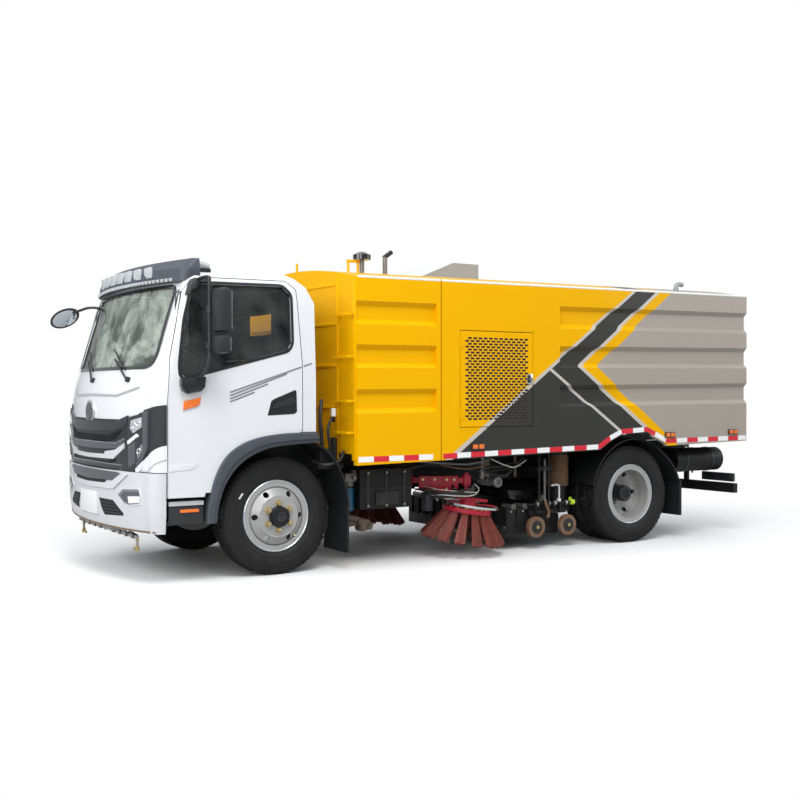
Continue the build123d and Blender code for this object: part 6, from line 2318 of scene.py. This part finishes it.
    def _behind_cab(self, fitter: Fitter) -> None:
        """Brackets, a bottle and hoses between the cab and the body."""
        stand, hoses = Form(), Form()
        stand.box((at(-0.56), 0.92, 0.90), (at(-0.52), 1.00, 1.12), 0.006)
        stand.box((at(-0.60), 0.90, 0.86), (at(-0.36), 1.04, 0.90), 0.008)
        stand.box((at(-0.50), 0.94, 0.90), (at(-0.38), 1.03, 1.02), 0.012)
        for radius, path in self.rear_hoses:
            hoses.hose(path, radius, 10, 6)
        bottle = Form().bar((at(-0.50), 1.045, 1.30), (at(-0.50), 1.045, 1.37), 0.022, 16, 0.006)
        fitter.both_each("chassis", ("cab_rear_stand", stand, "frame_black"),
                         ("cab_rear_hoses", hoses, "hose_black"), ("cab_rear_bottle", bottle, "bottle_white"))

    def _spray(self, fitter: Fitter) -> None:
        """Elbows and tips at the ends of the front spray bar, and nipples along it."""
        brass, bar = Form(), Form()
        x = at(self.spray)
        brass.box((x - 0.014, 0.695, 0.245), (x + 0.014, 0.727, 0.275), 0.004)
        brass.bar((x, 0.700, 0.256), (x, 0.640, 0.256), 0.011, 12, 0.002)
        brass.nut((x, 0.712, 0.275), UP, 0.024, 0.012)
        brass.nut((x, 0.712, 0.322), UP, 0.026, 0.014)
        for k in range(4):
            y = 0.10 + 0.16 * k
            brass.nut((x, y, 0.345), (0, 0, -1), 0.018, 0.012)
            bar.box((x - 0.018, y + 0.06, 0.340), (x + 0.018, y + 0.085, 0.376), 0.003)
        bar.tube([(x, 0.04, 0.385), (x, 0.30, 0.392), (x, 0.52, 0.388), (x, 0.68, 0.372)], 0.007, 8, 6)
        fitter.both_each("cab", ("spray_tips", brass, "brass"), ("spray_bar_clips", bar, "trim_black"))

    def _mirror(self, fitter: Fitter) -> None:
        """The round look-down mirror on its curved stem."""
        long, look = Vector(self.mirror_long).normalized(), Vector(self.mirror_look)
        look = (look - long * look.dot(long)).normalized()
        short = look.cross(long)
        station, y, z = self.mirror_spot
        spot = Vector((at(station), y, z))
        reach, width = self.mirror_half
        shell, glass, stem = Form(), Form(), Form()
        for form, grow, profile in (
            (shell, 1.0, [(-0.042, 0.55), (-0.030, 0.86), (-0.010, 1.0), (0.006, 1.0), (0.008, 0.93)]),
            (glass, 0.95, [(0.002, 1.0), (0.007, 0.95), (0.012, 0.6), (0.014, 0.0)]),
        ):
            disc = Form().spun(profile, ORIGIN, UP, 48)
            shape = Matrix((long * reach * grow, short * width * grow, look)).transposed().to_4x4()
            disc.bm.transform(Matrix.Translation(spot) @ shape)
            form.take(disc.bm)
        stem.tube([spot - look * 0.03, spot - look * 0.07 + Vector((-0.02, 0.05, 0.02)),
                   (at(1.02), -1.16, 2.262), (at(0.95), -1.04, 2.290), (at(0.875), -0.97, 2.285),
                   (at(0.83), -0.93, 2.25)], 0.012, 12, 8)
        piece = fitter.fit("lookdown_mirror_shell", shell, "trim_black", "cab")
        fitter.fit_each("cab", ("lookdown_mirror_glass", glass, "mirror_glass"),
                        ("lookdown_mirror_stem", stem, "trim_black"))
        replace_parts(piece, "lookdown_mirror")

    def _visor_ends(self, fitter: Fitter) -> None:
        """A bright lamp on a dark base at each end of the visor."""
        station, y, z = self.horn_spot
        x = at(station)
        base = Form().box((x - 0.06, y - 0.05, z - 0.05), (x + 0.075, y + 0.045, z - 0.012), 0.012)
        horn = Form().spun([(-0.06, 0.018), (-0.055, 0.030), (-0.01, 0.034), (0.045, 0.030), (0.06, 0.016)],
                           (x, y, z + 0.006), (1, 0, 0.25), 24)
        fitter.both_each("cab", ("visor_end_lamp", horn, "chrome"), ("visor_end_base", base, "gloss_black"))


@dataclass
class MixedNodes:
    """CAD nodes of more than one finish."""

    corner_foot: Point2 = (0.861, 0.911)
    corner_slope: float = 0.66
    hub_radius: float = 0.082
    hub_faces: Point2 = (1.0195, 0.823)
    intake_x: float = at(-1.28)
    intake_z: float = 2.722
    exhaust_z: float = 2.735

    def paint(self, nodes: Nodes, palette: Palette) -> None:
        """Paints the roof's pipes, the hood, the guards and the brush heads."""
        recoat(nodes["roof_pipes"], "chassis", palette, ("pipe_grey", "gloss_black"), self._roof_pipe)
        # The hood's upward faces in front take the paler grey: painted light on its slope.
        recoat(nodes["roof_hood"], "hopper", palette, ("hood_grey", "hood_pale"),
               lambda face: int(face.normal.z > 0.15 and face.calc_center_median().x > at(-2.3)))
        for end, start, over, shift in (("front", -0.40, 0.26, 0.062), ("rear", -4.25, 0.20, -0.080)):
            recoat(nodes[f"{end}_mudguards"], "chassis", palette, ("guard_black",),
                   bend=self._drawn(start, over, shift))
        for name, dark in (("front_grille", "trim_black"), ("headlamps", "gloss_black")):
            recoat(nodes[name], "cab", palette, (dark, "cab_white"), self._below_corner, self._cut_corner)
        for side in Side:
            for name, hub_face in zip((f"front_wheel_{side.tag()}", f"rear_wheels_{side.tag()}"),
                                      self.hub_faces):
                recoat(nodes[name], name, palette, ("wheel_silver", "guard_black"),
                       lambda face, hub_face=hub_face: self._wheel_hub(face, hub_face))
            recoat(nodes[f"brush_head_{side.tag()}"], f"brush_head_{side.tag()}", palette,
                   ("brush_red", "chrome"), self._hoop)
            for end in ("front", "rear"):
                name = f"caster_{end}_{side.tag()}"
                recoat(nodes[name], name, palette, ("caster_brown",))

    def _roof_pipe(self, face: Face) -> int:
        """Returns 1 for the intake's cap and the exhaust's tip, which stand above the pipes."""
        middle = face.calc_center_median()
        return int(middle.z > (self.intake_z if middle.x > self.intake_x else self.exhaust_z))

    def _below_corner(self, face: Face) -> int:
        """Returns 1 for what lies below the slanted lower edge of the grille's corner panels."""
        middle = face.calc_center_median()
        (y, z), slope = self.corner_foot, self.corner_slope
        return int(abs(middle.y) > y and middle.z < z + (abs(middle.y) - y) * slope)

    def _cut_corner(self, bm: BMesh) -> None:
        """Cuts the corner panels along their slanted lower edge."""
        (y, z), slope = self.corner_foot, self.corner_slope
        for sign in (side.value for side in Side):
            for normal in ((0, -sign * slope, 1), (0, 1, 0)):
                cut_faces(bm, lambda middle, sign=sign: sign * middle.y > 0.5, (0, sign * y, z), normal)

    def _wheel_hub(self, face: Face, hub_face: float) -> int:
        """Returns 1 for the hub that stands out of a wheel's disc."""
        middle = face.calc_center_median()
        axle = AXLE_X if middle.x > 0 else REAR_AXLE_X
        reach = math.hypot(middle.x - axle, middle.z - AXLE_Z)
        return int(reach < self.hub_radius and abs(middle.y) > hub_face)

    @staticmethod
    def _hoop(face: Face) -> int:
        """Returns 1 for the guard hoop round the brush's disc."""
        middle = face.calc_center_median()
        x, y, _ = SideBrushes.centre
        return int(math.hypot(middle.x - x, abs(middle.y) - y) > SideBrushes.hoop)

    @staticmethod
    def _drawn(start: float, over: float, shift: float) -> Callable[[Vector], Vector]:
        """Returns what moves the points behind a station along X, fully so from a length behind it."""
        def moved(spot: Vector) -> Vector:
            """Returns a point's new place."""
            return spot + Vector((shift * min(max((at(start) - spot.x) / over, 0.0), 1.0), 0, 0))
        return moved


# ---------------------------------------------------------------- studio


@dataclass
class Studio:
    """The floor, the lights and the camera."""

    eye: Point3 = (6.184, 9.372, 1.503)
    yaw: float = -122.296
    pitch: float = -0.377
    lens: float = 50.68
    floor_half: float = 60.0
    fade: Point2 = (2.3, 5.27)
    lights: tuple[tuple[str, Point3, Point3, float, float], ...] = (
        ("key", (3.6, 7.0, 10.5), (-0.3, 0, 1.2), 4.5, 800),
        ("front_fill", (11.0, 1.5, 6.0), (2.6, 0, 1.4), 5.0, 560),
        ("low_fill", (8.0, 7.5, 4.0), (1.4, 1.0, 1.6), 3.5, 210),
        ("rear_fill", (-9.0, 6.0, 5.0), (-1.5, 0, 1.2), 5.0, 180))

    def build(self) -> None:
        """Makes the whole studio."""
        self._camera()
        self._world()
        self._lights()
        self._floor()

    def _camera(self) -> None:
        """Adds the camera, level and without shift."""
        data = bpy.data.cameras.new("camera")
        data.lens, data.sensor_width = self.lens, 36
        data.clip_end = 300
        camera = new_object("camera", data)
        yaw, pitch = math.radians(self.yaw), math.radians(self.pitch)
        ahead = Vector((math.cos(yaw) * math.cos(pitch), math.sin(yaw) * math.cos(pitch), math.sin(pitch)))
        camera.location = self.eye
        camera.rotation_euler = ahead.to_track_quat("-Z", "Y").to_euler()
        bpy.context.scene.camera = camera
        bpy.context.scene.view_settings.view_transform = "Standard"

    @staticmethod
    def _world() -> None:
        """Soft light from all round, and a white background for what the camera sees."""
        world = bpy.data.worlds.new("studio")
        bpy.context.scene.world = world
        world.use_nodes = True
        world.node_tree.nodes.clear()
        wires = Wires(world.node_tree)
        path = wires.add("ShaderNodeLightPath")
        place = wires.add("ShaderNodeTexCoord")
        split = wires.add("ShaderNodeSeparateXYZ")
        rise = wires.add("ShaderNodeMapRange",
                         {"From Min": -0.15, "From Max": 0.7, "To Min": 0.20, "To Max": 0.98})
        soft = wires.add("ShaderNodeBackground", {"Color": (0.94, 0.97, 1.0, 1)})
        white = wires.add("ShaderNodeBackground", {"Color": (1, 1, 1, 1)})
        mix = wires.add("ShaderNodeMixShader")
        out = wires.add("ShaderNodeOutputWorld")
        wires.join((place, "Generated", split, 0), (split, "Z", rise, "Value"), (rise, 0, soft, "Strength"),
                   (path, "Is Camera Ray", mix, 0), (soft, 0, mix, 1), (white, 0, mix, 2), (mix, 0, out, 0))

    def _lights(self) -> None:
        """A broad key light and weaker fills, each given by where it is, its aim, its size and its power."""
        for name, where, aim, size, power in self.lights:
            data = bpy.data.lights.new(name, "AREA")
            data.size, data.energy = size, power
            lamp = new_object(name, data)
            lamp.location = where
            lamp.rotation_euler = (Vector(aim) - Vector(where)).to_track_quat("-Z", "Y").to_euler()

    def _floor(self) -> None:
        """A pale floor that keeps the shadow near the truck and turns white farther out."""
        mesh = bpy.data.meshes.new("floor")
        h = self.floor_half
        mesh.from_pydata([(-h, -h, 0), (h, -h, 0), (h, h, 0), (-h, h, 0)], [], [(0, 1, 2, 3)])
        floor = new_object("floor", mesh)
        material, wires, shader = new_material("floor", {"Roughness": 0.9})
        tone = wires.add("ShaderNodeMix", {"A": (0.42, 0.42, 0.42, 1), "B": (0.84, 0.84, 0.84, 1)},
                         data_type="RGBA")
        white = wires.add("ShaderNodeEmission")
        place = wires.add("ShaderNodeTexCoord")
        flat = wires.add("ShaderNodeVectorMath", {1: (0.75, 1.25, 0)}, operation="MULTIPLY")
        length = wires.add("ShaderNodeVectorMath", operation="LENGTH")
        fade = wires.add("ShaderNodeMapRange", {"From Min": self.fade[0], "From Max": self.fade[1]},
                         interpolation_type="SMOOTHSTEP")
        path = wires.add("ShaderNodeLightPath")
        both = wires.add("ShaderNodeMath", operation="MULTIPLY")
        mix = wires.add("ShaderNodeMixShader")
        out = material.node_tree.nodes["Material Output"]
        wires.join((tone, "Result", shader, "Base Color"), (place, "Object", flat, 0), (flat, 0, length, 0),
                   (length, "Value", fade, "Value"), (fade, 0, both, 0), (path, "Is Camera Ray", both, 1),
                   (path, "Is Camera Ray", tone, "Factor"), (both, 0, mix, 0), (shader, 0, mix, 1),
                   (white, 0, mix, 2), (mix, 0, out, 0))
        mesh.materials.append(material)


# ---------------------------------------------------------------- CAD nodes

NODE_FINISH = {
    "cab_white": ["cab_shell", "cab_door_left", "cab_door_right", "bumper"],
    "body_yellow": ["water_tank", "hopper_body", "service_door_left", "service_door_right"],
    "body_grey": ["tailgate"],
    "hood_grey": ["roof_hood"],
    "flare_grey": ["cab_flares", "sun_visor"],
    "guard_black": ["front_mudguards", "rear_mudguards"],
    "frame_black": ["chassis_frame", "leaf_springs", "rear_axle", "front_axle", "knuckle_left",
                    "knuckle_right", "air_tank", "underrun_bar", "suction_nozzle", "side_tanks",
                    "drive_shaft", "roof_pipes"],
    "zinc_steel": ["spray_bar"],
    "engine_black": ["main_engine", "aux_engine"],
    "wheel_silver": ["front_wheel_left", "front_wheel_right", "rear_wheels_left", "rear_wheels_right"],
    "tyre_black": ["front_tyre_left", "front_tyre_right", "rear_tyres_left", "rear_tyres_right"],
    "caster_brown": ["caster_front_left", "caster_front_right", "caster_rear_left", "caster_rear_right"],
    "gloss_black": ["headlamps"],
    "trim_black": ["mirror_left", "mirror_right", "wipers", "dashboard", "front_grille", "lookdown_mirror",
                   "cab_steps"],
    "door_glass": ["cab_glass", "door_glass_left", "door_glass_right"],
    "brush_red": ["brush_arm_left", "brush_arm_right", "brush_head_left", "brush_head_right"],
    "tuft_red": ["side_brush_left", "side_brush_right"],
    "seat_fabric": ["seats"],
}


def dress_nodes(nodes: Nodes, palette: Palette) -> None:
    """Gives every CAD node its finish.

    Args:
        nodes: The CAD nodes by name.
        palette: The truck's materials.
    """
    finish_of = {node: finish for finish, names in NODE_FINISH.items() for node in names}
    for name, node in nodes.items():
        node.data.materials.clear()
        node.data.materials.append(palette[finish_of.get(name, "frame_black")])


def main() -> None:
    """Builds the truck's looks round its frame."""
    logging.basicConfig(level=logging.INFO, format="%(message)s")
    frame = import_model()
    palette = Palette()
    Studio().build()
    nodes = frame["nodes"]
    dress_nodes(nodes, palette)
    fitter = Fitter(palette)
    cab_skin = Skin([nodes["cab_shell"], nodes["cab_door_left"], nodes["cab_door_right"]])
    # The bumper takes a darker copy of the cab's white, as painted shade.
    bumper_skin = Skin([recoat(nodes["bumper"], "cab", palette, ("bumper_white",),
                               bend=bumper_back(Skin([nodes["bumper"]])))])
    for part in (SafetyTape(), ServiceDoorTrim(), SideLamps(), BodyTrim(), CabFront(cab_skin, bumper_skin),
                 CabSide(cab_skin), CabInside(), Wheels(), SideBrushes(), NozzleGear(), UnderBody()):
        part.fit(fitter)
        log.info("%s fitted", type(part).__name__)
    Livery().paint(nodes, palette)
    CabShells().paint(nodes, palette)
    MixedNodes().paint(nodes, palette)


if __name__ == "__main__":
    main()
